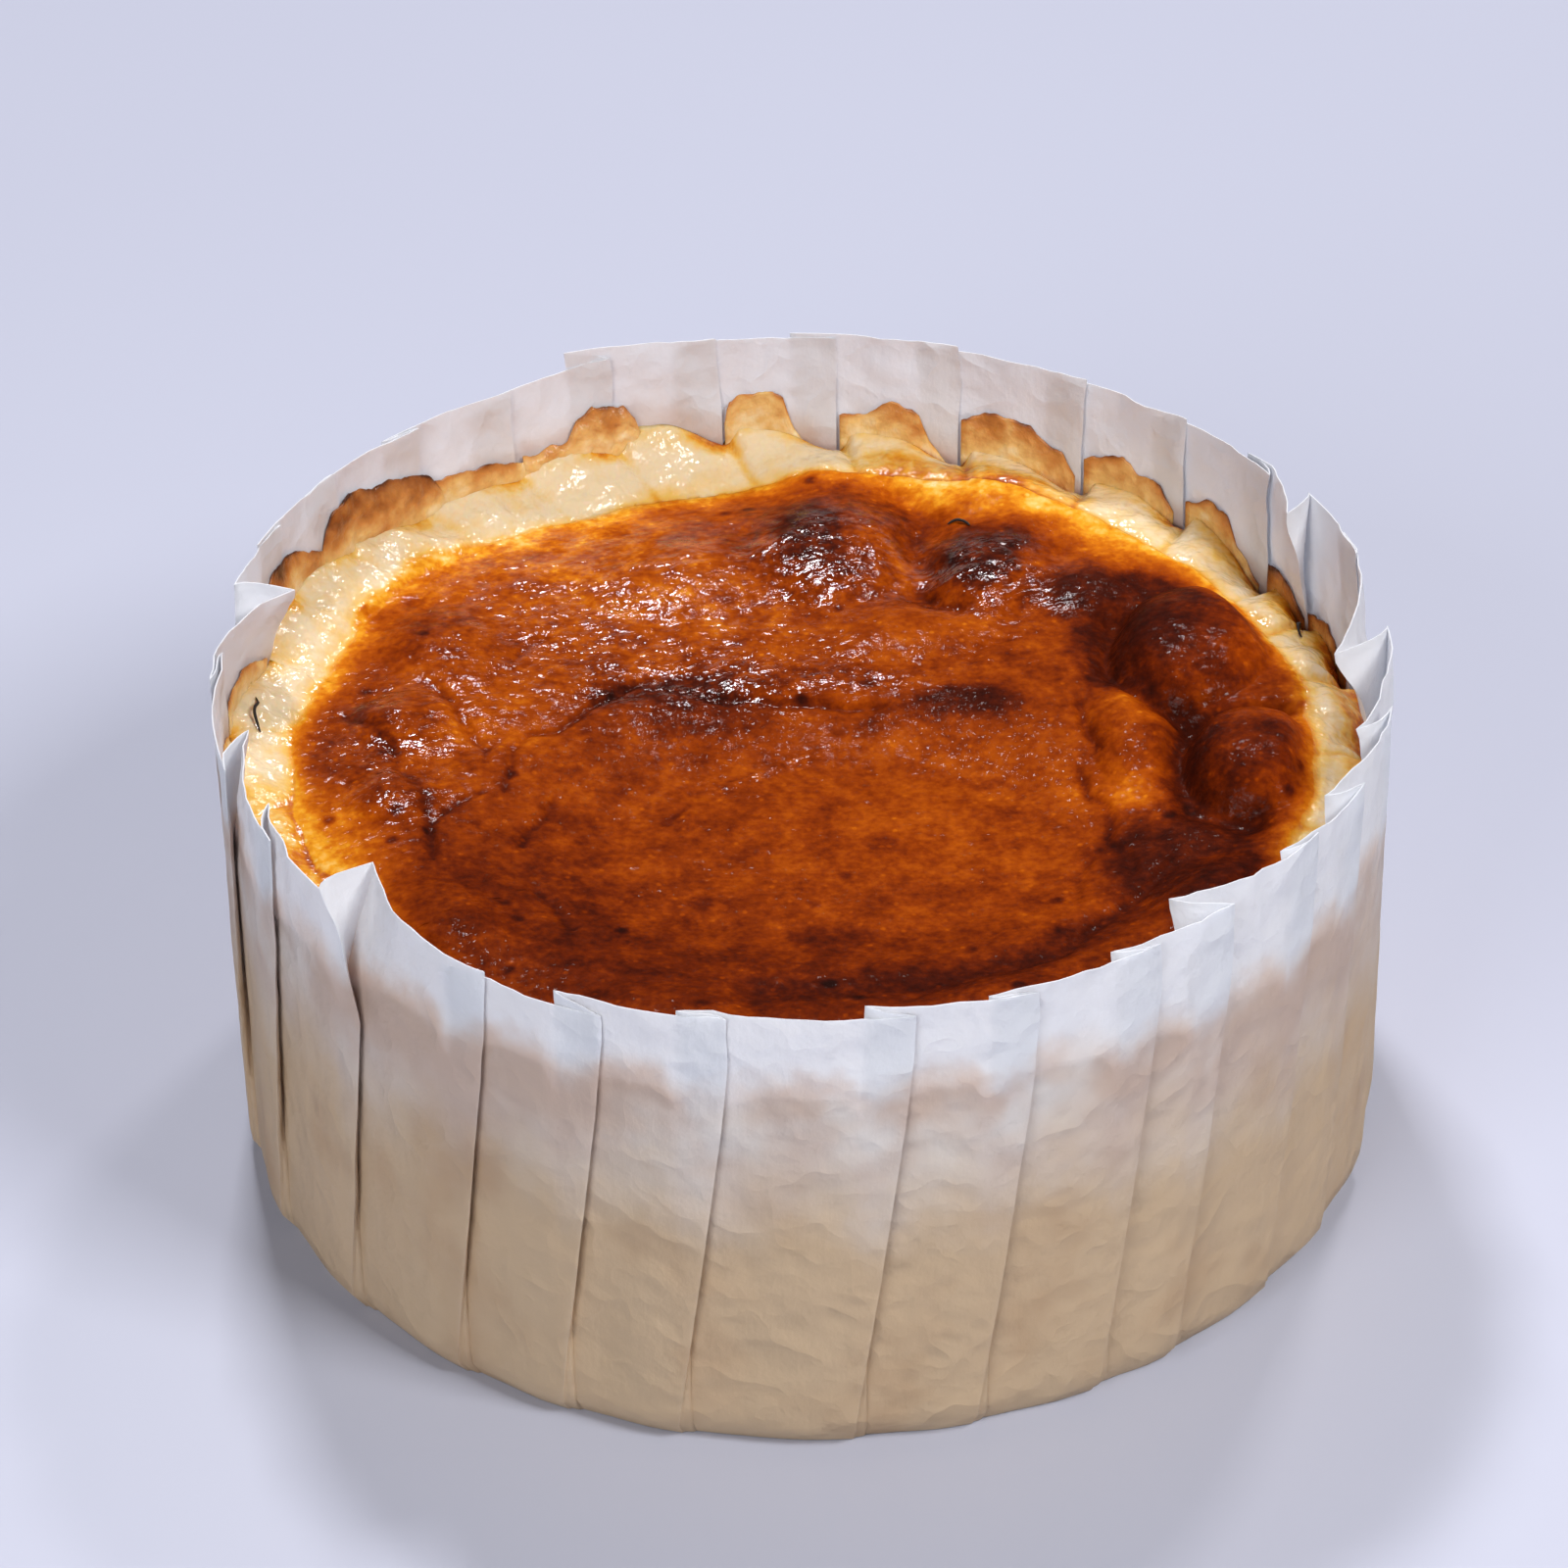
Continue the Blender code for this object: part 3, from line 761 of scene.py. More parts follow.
@dataclass(frozen=True)
class Relief:
    """Height and baking of the cake's top, in millimetres; the baking holds some painted shade.

    The sides of the ring and the margin are each a middle and half a width in degrees."""

    pleats: Pleats
    cap_radius: float = 65.0
    cap_level: float = 54.6
    basin_depth: float = 2.9
    basin_middle: tuple[float, float] = (3.0, -19.0)
    basin_half: tuple[float, float] = (46.0, 31.0)
    puff_start: float = 52.0
    ring_bulge: float = 0.38
    ring_hollow: float = 1.3
    ring_slant: float = 3.2
    ring_valley: float = 0.35
    ring_tilt: float = 1.6
    ring_groove: float = 0.6
    calm_side: tuple[float, float] = (154.0, 40.0)
    step_clear: float = 1.0
    cap_edge: Pairs = (
        (0, 55.4), (24, 54.6), (45, 54.8), (65, 56.6), (75, 54.6), (86, 55), (98, 52.2),
        (117, 52.6), (140, 54.2), (170, 54), (200, 53.4), (240, 54), (285, 54.2), (335, 54.6),
    )  # fmt: skip
    ring_edge: Pairs = (
        (8, 48.6), (33, 51), (46, 54), (60, 52.6), (86, 54.2), (107, 57.8), (130, 56.2),
        (150, 59), (168, 56.4), (200, 54.8), (240, 55), (285, 53.6), (330, 50),
    )  # fmt: skip
    rim_reach: Pairs = (
        (0, 0), (100, 0), (117, -0.8), (128, 0.7), (140, 2.3), (147, 1.5), (156, -1),
        (176, 0.6), (200, 0),
    )  # fmt: skip
    lumps: tuple[Lump, ...] = made(Lump, (
        (4, 46.5, 11.5, 14, 0, 2.8, 1.2), (25, 40.5, 9.5, 13.5, -20, 2.5, 1.2),
        (37.5, 36.5, 8, 8.5, -30, 1.3, 1.4), (50.5, 21, 10.5, 13.5, -18, 4.6, 0.6),
        (57, -5, 8.8, 10.6, 8, 4.4, 0.6), (-51, 8, 7.5, 6.5, 10, 1.5, 1),
        (-52, -9, 6.5, 6, 0, 1.2, 1), (-46, 24, 9, 12, 35, 1.3, 1.4),
        (-14, 40, 17, 11, 12, 1.6, 1.4), (15, 27, 14, 8, 10, 1.1, 1.4),
        (42, 3, 5.5, 13, 0, 1.6, 1.1), (50, -33, 8, 10, -35, 1.6, 1.2),
        (22, -56, 13, 7, 20, 1.5, 1.3), (-17, -57, 14, 7, -15, 1.3, 1.3),
        (-45, -37, 9, 12, 40, 1.5, 1.3),
    ))  # fmt: skip
    ring_lumps: tuple[Lump, ...] = made(Lump, (
        (62.5, 30, 3.6, 5, 25, 1.1, 0.8), (66.8, 19, 3.4, 4.6, 15, 1.1, 0.8),
        (69.3, 8.8, 3.4, 5.2, 6, 1.2, 0.8), (70.3, -3.5, 3.2, 5.6, -4, 1, 0.8),
    ))  # fmt: skip
    # The second, third and fourth creases darken partly from scorching and partly as painted shade
    # in their grooves, along the big right puffs and across the front.
    creases: tuple[Line, ...] = made(Line, (
        (((-49, -4), (-40, 4), (-31, 6), (-25, 13), (-16, 15), (-6, 11), (8, 10)), 0.5, 2.6, 0.02),
        (((41, 28), (40, 17), (45, 9), (49.5, 5), (48, -5), (49, -14), (56, -17)), 1.7, 2.2, 0.22),
        (((49.5, 5), (58, 6.5), (64, 6)), 1.5, 1.8, 0.16),
        (((54, -19), (44, -31), (33, -42), (15, -50), (-6, -51)), 1, 3.4, 0.12),
        (((13.5, 60), (17.5, 53), (14.5, 46), (17.5, 39), (15, 35), (21, 31)), 1.2, 2.4, 0.06),
    ))  # fmt: skip
    cracks: tuple[Line, ...] = made(Line, (
        (((-37, 1.5), (-35, 5), (-32, 5), (-29.5, 7.5), (-27, 11), (-22, 15), (-19.5, 16.5)), 0.5,
            0.6, 0.12),
        (((-12, 11.5), (-7, 12), (-2, 11), (2, 11), (6, 10), (10, 10.5)), 0.5, 0.55, 0.1),
        (((-31.5, -8), (-32.5, -12), (-34.5, -15), (-35.5, -18.5)), 0.3, 0.5, 0.1),
        (((-40.5, -1.5), (-40.5, 1), (-39, 3), (-37, 1.5), (-37, -1.5), (-38, -7.5)), 0.35, 0.5,
            0.1),
        (((-41, -8), (-44, -11), (-46.5, -14.5), (-47, -16.5), (-46.5, -22.5)), 0.4, 0.6, 0.12),
        (((-15.5, -9.5), (-17.5, -12.5)), 0.3, 0.5, 0.08),
        (((-33, 26), (-35, 25.5), (-37.5, 20.5)), 0.4, 0.6, 0.08),
        (((-9.5, -4.5), (-6, -2.2), (-2.5, 0), (1.5, 2)), -0.3, 0.6, 0),
        (((16.5, 35), (18.5, 32), (21, 31)), 0.5, 0.7, 0.1),
        (((22, 19), (23, 21.5), (25, 23), (27.5, 24)), 0.3, 0.6, 0.06),
        (((35.5, 9.5), (36, 4.5), (37.5, -0.5)), 0.5, 0.7, 0.14),
        (((35, -4), (36, -9.5), (38, -11), (38.5, -15), (38, -19), (40.5, -23), (41, -26.5)), 0.45,
            0.6, 0.14),
        (((33.5, -31.5), (34, -25.5), (37, -20)), 0.35, 0.6, 0.1),
        (((46, -24.5), (44, -27.5), (40, -33), (34.5, -39), (31, -44), (25, -47)), 0.4, 0.9, 0.12),
        (((-34, -27.5), (-31, -32), (-29, -37)), 0.4, 0.8, 0.1),
        (((-59, 9.5), (-55, 5.5), (-52, 0.5), (-51.5, -3), (-48, -9.5), (-47, -16.5)), 0.4, 0.7,
            0.12),
        (((-47.5, 15), (-45, 11), (-42, 3.5), (-40.5, 1.5)), 0.45, 0.7, 0.12),
    ))  # fmt: skip
    # The patch at (44, 26), on the shaded left side of the big right puff, and those at (48, -26)
    # and (0, -50) over the front darken partly from scorching and partly as painted shade.
    patches: tuple[Patch, ...] = made(Patch, (
        (4, 46, 12, 14, 0, 0.1), (1, 47, 4.6, 6.8, 0, 0.24), (6, 43, 4, 6, 20, 0.06),
        (25, 43, 8, 12, -15, 0.1), (23.8, 41, 4.2, 6.2, 0, 0.28), (37, 34, 4.8, 4.8, 0, 0.3),
        (44, 26, 6.5, 11, -15, 0.68), (51, 20, 9, 13, -15, 0.16), (57, 17, 4, 8, -15, -0.06),
        (56, -6, 9, 10, 0, 0.2), (58, -1, 4, 3, 0, -0.12), (-16, 13.6, 8.5, 3.8, 8, 0.3),
        (-14, 8, 9, 2.5, 0, 0.12), (21, 10.2, 6, 3.4, 0, 0.3), (48, -26, 12, 8, -50, 0.42),
        (-40, 9, 9, 12, 20, -0.13), (11, 43, 5, 7, 0, -0.2), (15, 27, 10, 6, 0, -0.06),
        (42.8, 6.2, 3.6, 3.6, 0, -0.16), (41.4, -10.2, 4.5, 3.4, 0, -0.16),
        (22, -10, 24, 16, 0, -0.07), (23, -5, 2.2, 1.8, 10, 0.13), (26, -12.5, 3.2, 2.4, 0, 0.11),
        (10, -17.5, 2.6, 2, 0, 0.1), (-13, -30, 1.6, 1.4, 0, 0.14), (3, -37, 4.5, 2.6, 0, 0.1),
        (33, -15, 2.2, 2, 0, 0.1), (0, -50, 46, 13, 0, 0.1), (-33, -32, 20, 14, -45, 0.1),
        (2, 26, 26, 8, 0, -0.04), (-26, 39, 26, 15, -15, -0.15), (28, 58, 11, 8.5, 0, -0.3),
        (15, 61, 6, 5, 0, -0.16), (42, 48.5, 11, 7.5, -45, -0.28), (55, 33, 9, 4.5, -60, -0.16),
        (-60, -20, 7, 15, 20, -0.27),
    ))  # fmt: skip
    wet: tuple[Patch, ...] = made(Patch, (
        (-26, 36, 30, 22, -30, 0.9), (5, 42, 11, 11, 0, 0.9), (25, 37, 10, 9.5, -15, 0.9),
        (-8, 16, 26, 4.5, 4, 0.75), (-51, 2, 10, 16, 0, 0.75), (53, 6, 6, 20, 8, 0.14),
        (-4, -1.2, 6.5, 0.8, 31, 0.9),
    ))  # fmt: skip
    lump_fade: float = 4.0
    swell_size: tuple[float, float] = (11.0, 9.0)
    wrinkle_size: tuple[float, float] = (3.8, 2.4)
    streak_size: tuple[float, float] = (3.0, 1.8)
    wrinkle_slant: float = 0.12
    ring_swell: float = 5.6
    ring_pebble: float = 2.2
    warp: float = 1.6
    warp_size: float = 4.0
    valley_width: float = 1.2
    groove_width: float = 0.7
    skin_rise: float = 0.25
    skin_bake: float = 0.6
    crack_bake: float = 1.1
    rim_bake: float = -0.36
    broad_margin: tuple[float, float] = (118.0, 34.0)
    palest: float = 0.19
    darkest: float = 0.83
    swells: Noise = seeded(3)
    wrinkles: Noise = seeded(11)
    streaks: Noise = seeded(23)
    wobbles: Noise = seeded(31)

    def rim_distance(self, x: Array, y: Array) -> Array:
        """Measures how far inside the browned skin's torn edge points lie.

        Args:
            x: X of each point.
            y: Y of each point.

        Returns:
            The distances in millimetres, negative on the pale ring.
        """
        wobble = 1.2 * self.wobbles(x / 9.0, y / 9.0) + 0.25 * self.wobbles(x / 2.6 + 40.0, y / 2.6)
        reach = round_profile(np.arctan2(y, x), self.rim_reach)
        return self.cap_radius + reach + wobble - np.hypot(x, y)

    def basin_share(self, x: Array, y: Array) -> Array:
        """1 in the sunken middle, 0 outside it."""
        (mid_x, mid_y), (half_x, half_y) = self.basin_middle, self.basin_half
        return 1.0 - smooth_step(0.55, 1.15, np.hypot((x - mid_x) / half_x, (y - mid_y) / half_y))

    def cap(self, x: Array, y: Array) -> Array:
        """Gives the height of the browned cap without its fine relief.

        Args:
            x: X of each point.
            y: Y of each point.

        Returns:
            The heights.
        """
        radius = np.hypot(x, y)
        rim = smooth_step(self.puff_start, self.cap_radius, radius)
        height = (self.cap_level - self.basin_depth * self.basin_share(x, y)) * (1.0 - rim)
        height = height + round_profile(np.arctan2(y, x), self.cap_edge) * rim
        fade = 1.0 - smooth_step(self.cap_radius - self.lump_fade, self.cap_radius, radius)
        height = height + fade * sum(lump.rise(x, y) for lump in self.lumps)
        return height - fade * sum(line.depth * line.near(x, y) for line in self.creases)

    def fine(self, x: Array, y: Array) -> Array:
        """Gives the swells, wrinkles, streaks and cracks of the skin.

        Args:
            x: X of each point.
            y: Y of each point.

        Returns:
            The heights that they add.
        """
        shine = self.shine(x, y)
        leant = y + self.wrinkle_slant * x
        (swell_x, swell_y), (fold_x, fold_y) = self.swell_size, self.wrinkle_size
        swell = (0.14 + 0.12 * shine) * self.swells.layered(x / swell_x, y / swell_y, 3)
        wrinkle = (0.03 + 0.09 * shine) * self.wrinkles.layered(x / fold_x, leant / fold_y, 3)
        streak = self.streaks.layered(x / self.streak_size[0], leant / self.streak_size[1], 2)
        streak = 0.025 * streak * self.basin_share(x, y)
        return swell + wrinkle + streak - sum(line.depth * line.near(x, y) for line in self.cracks)

    def shine(self, x: Array, y: Array) -> Array:
        """How wet and wrinkled the skin is, from 0 to 1."""
        return np.clip(sum(patch.add(x, y) for patch in self.wet), 0.0, 1.0)

    def over_ring(self, x: Array, y: Array, edge: Array) -> tuple[Array, Array]:
        """Share of the way over the pale ring, and the azimuth at the paper of the fold there."""
        across = np.clip((np.hypot(x, y) - self.cap_radius) / (edge - self.cap_radius), 0.0, 1.0)
        return across, np.arctan2(y, x) + self.ring_slant * (1.0 - across) / self.cap_radius

    def top(self, x: Array, y: Array, edge: Array) -> Array:
        """Gives the height of the cake's top.

        Args:
            x: X of each point.
            y: Y of each point.
            edge: the custard's outer radius at each point's azimuth.

        Returns:
            The heights, over the cap and the pale ring around it.
        """
        radius, angle = np.hypot(x, y), np.arctan2(y, x)
        across, slanted = self.over_ring(x, y, edge)
        low, high = (round_profile(angle, knots) for knots in (self.cap_edge, self.ring_edge))
        arch = np.sin(math.pi * across) ** 0.5
        ring = low + (high - low) * across**self.ring_hollow + self.crown(slanted) * arch
        ring = ring + (self.edge_height(slanted) - high) * across**2.6
        valley = np.exp(-(((radius - self.cap_radius) / self.valley_width) ** 2))
        ring = ring - self.ring_valley * valley
        ring = ring - self.ring_groove * self.groove(slanted) * across**0.5
        calm = self.calm(angle)
        lumpy = self.swells.layered(x / self.ring_swell, y / self.ring_swell, 2)
        lumpy = (0.25 + 0.4 * calm) * lumpy
        pebbly = self.wrinkles.layered(x / self.ring_pebble, y / self.ring_pebble, 2)
        pebbly = (0.1 + 0.12 * calm) * pebbly
        ring = ring + (lumpy + pebbly + sum(lump.rise(x, y) for lump in self.ring_lumps)) * arch
        skin = smooth_step(-0.5, 0.6, self.rim_distance(x, y))
        body = np.where(radius < self.cap_radius, self.cap(x, y), ring)
        return body + skin * (self.fine(x, y) + self.skin_rise)

    def calm(self, angle: Array) -> Array:
        """1 along the side where the ring is one rough band without lobes, 0 away from it."""
        return sector(angle, *self.calm_side)

    def past_fold(self, angle: Array, turn: float) -> Array:
        """Share of the way between two steps of the custard, read turn millimetres further on."""
        return self.pleats.pleat_of(angle + (self.step_clear + turn) / self.pleats.radii[-1])[1]

    def softened(self, angle: Array, shape: Callable[[Array], Array]) -> Array:
        """A shape that repeats in each pleat, with its jump at the fold edge rounded off."""
        turns = np.linspace(-0.95, 0.95, 13)
        return np.mean([shape(self.past_fold(angle, turn)) for turn in turns], axis=0)

    def crown(self, angle: Array) -> Array:
        """Gives the height of the soft lobe of custard between two folds.

        Args:
            angle: azimuths in radians.

        Returns:
            The heights, uneven from pleat to pleat.
        """
        uneven = 1.0 + 0.9 * self.wobbles(angle * 4.1, np.full_like(angle, 0.37))
        lobe = self.softened(angle, lambda share: np.sin(math.pi * share) ** 0.7)
        return self.ring_bulge * uneven * lobe

    def edge_height(self, angle: Array) -> Array:
        """Gives the custard's height against the paper, which steps down after each fold.

        Args:
            angle: azimuths in radians.

        Returns:
            The heights.
        """
        tilt = self.softened(angle, lambda share: 2.0 * smooth_step(0.04, 0.6, share) - 1.0)
        tilt = tilt * (1.0 - 0.8 * self.calm(angle))
        return round_profile(angle, self.ring_edge) + self.ring_tilt * tilt

    def groove(self, angle: Array) -> Array:
        """Finds the folds that run across the pale ring.

        Args:
            angle: azimuths in radians.

        Returns:
            1 in the folds, 0 away from them.
        """
        radius, folds = self.pleats.radii[-1], self.pleats.folds
        index, share = self.pleats.pleat_of(angle + 0.5 * self.step_clear / radius)
        arc = np.minimum(share, 1.0 - share) * (folds[index + 1] - folds[index]) * radius
        return np.exp(-((arc / self.groove_width) ** 2)) * (1.0 - 0.75 * self.calm(angle))

    def scoop(self, angle: Array) -> Array:
        """1 where the tip of a flap presses into the custard, 0 past the middle of the pleat."""
        return self.softened(angle, lambda share: 1.0 - smooth_step(0.12, 0.55, share))

    def bake(self, x: Array, y: Array) -> Array:
        """Gives how dark the skin is: its baking, with painted shade added in the grooves of the
        big right puffs and over the front.

        Args:
            x: X of each point.
            y: Y of each point.

        Returns:
            Values from 0 to 1.
        """
        across, along = x / self.warp_size, y / self.warp_size
        warp_x = x + self.warp * self.wobbles(across, along + 7.0)
        warp_y = y + self.warp * self.wobbles(across + 19.0, along)
        baked_and_shaded = self.skin_bake + 0.05 * self.swells.layered(x / 6.0 + 5.0, y / 5.0, 3)
        baked_and_shaded = baked_and_shaded + sum(patch.add(warp_x, warp_y) for patch in self.patches)
        baked_and_shaded = baked_and_shaded + sum(line.bake * line.near(warp_x, warp_y) for line in self.creases)
        baked_and_shaded = baked_and_shaded + self.crack_bake * sum(line.bake * line.near(x, y) for line in self.cracks)
        width = 1.9 + 3.6 * sector(np.arctan2(y, x), *self.broad_margin, 2)
        margin = np.exp(-((np.clip(self.rim_distance(x, y), 0.0, None) / width) ** 1.3))
        return np.clip(baked_and_shaded + self.rim_bake * margin, self.palest, self.darkest)


# --- the cake -------------------------------------------------------------------------------
@dataclass(frozen=True)
class CakeFinish:
    """The custard's and the crust's colours, from pale through golden to scorched."""

    stops: tuple = (
        (0.0, linear(234, 213, 174)),
        (0.1, linear(234, 190, 100)),
        (0.2, linear(227, 156, 36)),
        (0.32, linear(199, 108, 12)),
        (0.45, linear(164, 73, 3)),
        (0.58, linear(133, 50, 1)),
        (0.7, linear(99, 31, 2)),
        (0.82, linear(67, 18, 4)),
        (0.92, linear(47, 12, 5)),
        (1.0, linear(32, 9, 5)),
    )
    spread: tuple[float, float, float] = (1.0, 0.55, 0.25)
    depth: float = 0.0016
    relief: float = 0.0003

    def material(self) -> bpy.types.Material:
        """Builds the material.

        Returns:
            The cake's material, which reads the mesh's rim, bake, groove, shine and scald_and_shade
            values.
        """
        s = Shader("baked_custard")
        rim, bake, shine = s.attribute("rim"), s.attribute("bake"), s.attribute("shine")
        skin = (rim + s.noise(0.0014, 3.0) * 0.2).step(-0.2, 0.3)
        streak = s.noise(1.0, 3.0, 0.6, s.stretched((560.0, 1150.0, 700.0), 12.0))
        mottle = s.noise(0.0013, 4.0, 0.65)
        cloud = s.noise(0.0052, 3.0, 0.6)
        speck = s.cells(0.0024).step(0.2, 0.08)
        spot = s.cells(0.0085).step(0.16, 0.03)
        fine = s.noise(0.00055, 2.0, 0.6)
        lively = shine * 0.06 + 0.08
        crust = bake + streak * 0.02 + mottle * (lively + 0.02) + fine * 0.03
        crust = crust + cloud * (lively + 0.07) - speck * 0.09 + spot * 0.2
        # Scalds: browned custard, and on the ring's right side also painted shade from the wall.
        scald_and_shade = s.attribute("scald_and_shade") * (1.0 + cloud * 0.8 + mottle * 0.5)
        # Painted shade in part: the folds across the pale ring are tinted yellower, partly the
        # custard's own colour there and partly shade in the folds.
        pale = s.attribute("groove") * (0.1 + cloud * 0.1) + cloud * 0.08
        pale = pale + rim.step(-2.8, 0.2) * 0.08 + rim.step(-1.0, 0.1) * 0.12 + scald_and_shade
        level = (crust * skin + pale * (1.0 - skin)).at_least(0.0).at_most(1.0)
        colour = s.ramp(level, self.stops)
        facet = s.noise(1.0, 1.5, 0.5, s.stretched((620.0, 900.0, 800.0), 14.0))
        ripple = s.noise(0.0019, 1.5, 0.5)
        pebble = s.noise(0.0013, 1.5, 0.5)
        grain = s.noise(0.0004, 2.0)
        patchy = s.noise(0.0042, 3.0, 0.6)
        folds = (facet + ripple * 1.2) * (0.6 + shine * 0.4) * 0.42
        wrinkled = s.bump(folds + grain * 0.06, self.relief)
        curdled = s.bump((pebble + ripple) * 0.38 + grain * 0.04, self.relief)
        dry = s.surface(colour, 0.6 + cloud * 0.08, wrinkled, 0.02)
        wet = s.surface(colour, 0.1 + mottle * 0.03, wrinkled, 0.42)
        soft = s.surface(colour, 0.2 + patchy * 0.1, curdled, 0.65, 0.3, self.spread, self.depth)
        wetness = shine * (patchy + 0.1).step(-0.2, 0.35) * 1.3 + fine.step(0.16, 0.3) * 0.15
        return s.finish(s.blend(skin, soft, s.blend(wetness.at_most(0.95), dry, wet)))


@dataclass
class Cheesecake:
    """The cake's body: a fine grid laid over a disc, with its side and foot drawn down.

    The toasted sides of the ring, and its right side, where the darkening near the paper is partly
    painted shade, are each a middle and half a width in degrees."""

    pleats: Pleats
    relief: Relief
    cells: int = 290
    finish: CakeFinish = CakeFinish()
    clear: float = 0.15
    step_turn: float = 1.0 / 75.0
    lip_width: float = 0.9
    lip_drop: float = 0.3
    side_levels: tuple[float, ...] = (50.0, 40.0, 27.0, 15.0, 3.6)
    side_inset: float = 0.8
    side_drop: float = 3.0
    foot_radius: float = 69.3
    floor_radius: float = 30.0
    foot_height: float = 0.85
    groove_start: float = 5.0
    front_left: tuple[float, float] = (205.0, 17.0)
    right_scald_and_shade: tuple[float, float] = (5.0, 28.0)
    golden_back: tuple[float, float] = (70.0, 13.0)

    def side_radius(self, angle: Array, height: Array) -> Array:
        """Radius of the custard, just inside the paper, with the steps at the folds softened.

        Args:
            angle: azimuths in radians.
            height: heights in millimetres.

        Returns:
            The radii in millimetres.
        """
        turns = np.linspace(-0.5, 0.5, 8) * self.step_turn
        mean = np.mean([self.pleats.inner_radius(angle + turn, height) for turn in turns], axis=0)
        return np.minimum(mean, self.pleats.inner_radius(angle, height)) - self.clear

    def disc(self, square: Array) -> tuple[Array, Array]:
        """Maps the square grid onto a disc.

        Args:
            square: (x, y) rows between -1 and 1.

        Returns:
            The share of the way out and the azimuth in radians.
        """
        x, y = square[:, 0], square[:, 1]
        wide = np.abs(x) >= np.abs(y)
        out = np.where(wide, x, y)
        safe = np.where(out == 0.0, 1.0, out)
        turn = np.where(wide, math.pi / 4 * y / safe, math.pi / 2 - math.pi / 4 * x / safe)
        return np.abs(out), (turn + np.where(out < 0.0, math.pi, 0.0)) % math.tau

    def build(self) -> bpy.types.Object:
        """Models the cake.

        Returns:
            The finished object.
        """
        cake = new_grid("baked_cheesecake", self.cells, self.cells)
        share, angle = self.disc(places_of(cake))
        edge_height = self.relief.edge_height(angle)
        edge = self.side_radius(angle, edge_height)
        radius = share * edge
        x, y = radius * np.cos(angle), radius * np.sin(angle)
        z = self.relief.top(x, y, edge)
        lip = smooth_step(edge - self.lip_width, edge, radius)
        z = z - self.lip_drop * lip**2
        move_to(cake, x * MM, y * MM, z * MM)
        self._draw_down(cake)
        self._paint(cake)
        activate(cake)
        bpy.ops.object.shade_smooth()
        wear(cake, self.finish.material())
        return cake

    def _draw_down(self, cake: bpy.types.Object) -> None:
        """Extrudes the grid's border down the paper and closes the underside.

        Args:
            cake: the shaped top.
        """
        activate(cake)
        for number in range(len(self.side_levels) + 2):
            before = len(cake.data.vertices)
            bpy.ops.object.mode_set(mode="EDIT")
            bpy.ops.mesh.select_mode(type="EDGE")
            select_rim()
            bpy.ops.mesh.extrude_region_move(TRANSFORM_OT_translate={"value": (0.0, 0.0, -0.001)})
            bpy.ops.object.mode_set(mode="OBJECT")
            places = places_of(cake)
            new = places[before:]
            angle = np.arctan2(new[:, 1], new[:, 0])
            if number < len(self.side_levels):
                highest = self.relief.edge_height(angle) - self.side_drop
                level = np.minimum(self.side_levels[number], highest)
                radius = self.side_radius(angle, level) - self.side_inset
            else:
                level = np.full(len(new), self.foot_height)
                at_foot = number == len(self.side_levels)
                radius = np.full(len(new), self.foot_radius if at_foot else self.floor_radius)
            new[:] = np.column_stack((radius * np.cos(angle), radius * np.sin(angle), level)) * MM
            move_to(cake, *places.T)
        bpy.ops.object.mode_set(mode="EDIT")
        select_rim()
        bpy.ops.mesh.edge_face_add()
        face_outwards()

    def _paint(self, cake: bpy.types.Object) -> None:
        """Stores what the material reads: the torn rim, baking with some painted shade, folds,
        shine, and scalds that hold painted shade on the ring's right side.

        Args:
            cake: the closed body.
        """
        relief = self.relief
        x, y, z = (places_of(cake) / MM).T
        angle, radius = np.arctan2(y, x), np.hypot(x, y)
        edge_height, calm = relief.edge_height(angle), relief.calm(angle)
        edge = self.side_radius(angle, edge_height)
        below = smooth_step(1.6, 4.0, edge_height - z) * (radius > edge - 0.6)
        near_paper = smooth_step(edge - 3.2, edge - 0.3, radius)
        # Painted shade in part: the ring's right side darkens towards the paper, partly browned
        # custard and partly the shade that the wall casts there.
        right = 0.035 + 0.2 * smooth_step(edge - 6.5, edge - 1.5, radius)
        edge_skin = (0.04 + 0.34 * relief.scoop(angle)) * near_paper * (1.0 - 0.6 * calm)
        back = 0.2 * smooth_step(edge - 2.0, edge - 5.5, radius)
        scald_and_shade = edge_skin + sector(angle, *self.golden_back) * back + 0.01 * calm + 0.2 * below
        scald_and_shade = scald_and_shade + 0.21 * sector(angle, *self.front_left)
        scald_and_shade = scald_and_shade + sector(angle, *self.right_scald_and_shade, 2) * right
        on_ring = radius > relief.cap_radius - self.groove_start
        values = {
            "rim": relief.rim_distance(x, y),
            "bake": relief.bake(x, y),
            "groove": relief.groove(relief.over_ring(x, y, edge)[1]) * on_ring,
            "shine": relief.shine(x, y),
            "scald_and_shade": scald_and_shade,
        }
        for name, value in values.items():
            write_attribute(cake, name, value)


# --- what clings to the paper and lies on the cake ------------------------------------------
@dataclass(frozen=True)
class Film:
    """A skin of browned custard on the paper, by the azimuth and height of its upper edge.

    The bake is how dark it is, from 0 to 1, which on the two films at the right holds painted shade
    as well as browning, and the thickness is in millimetres."""

    upper: Pairs
    bake: float
    thickness: float = 0.45


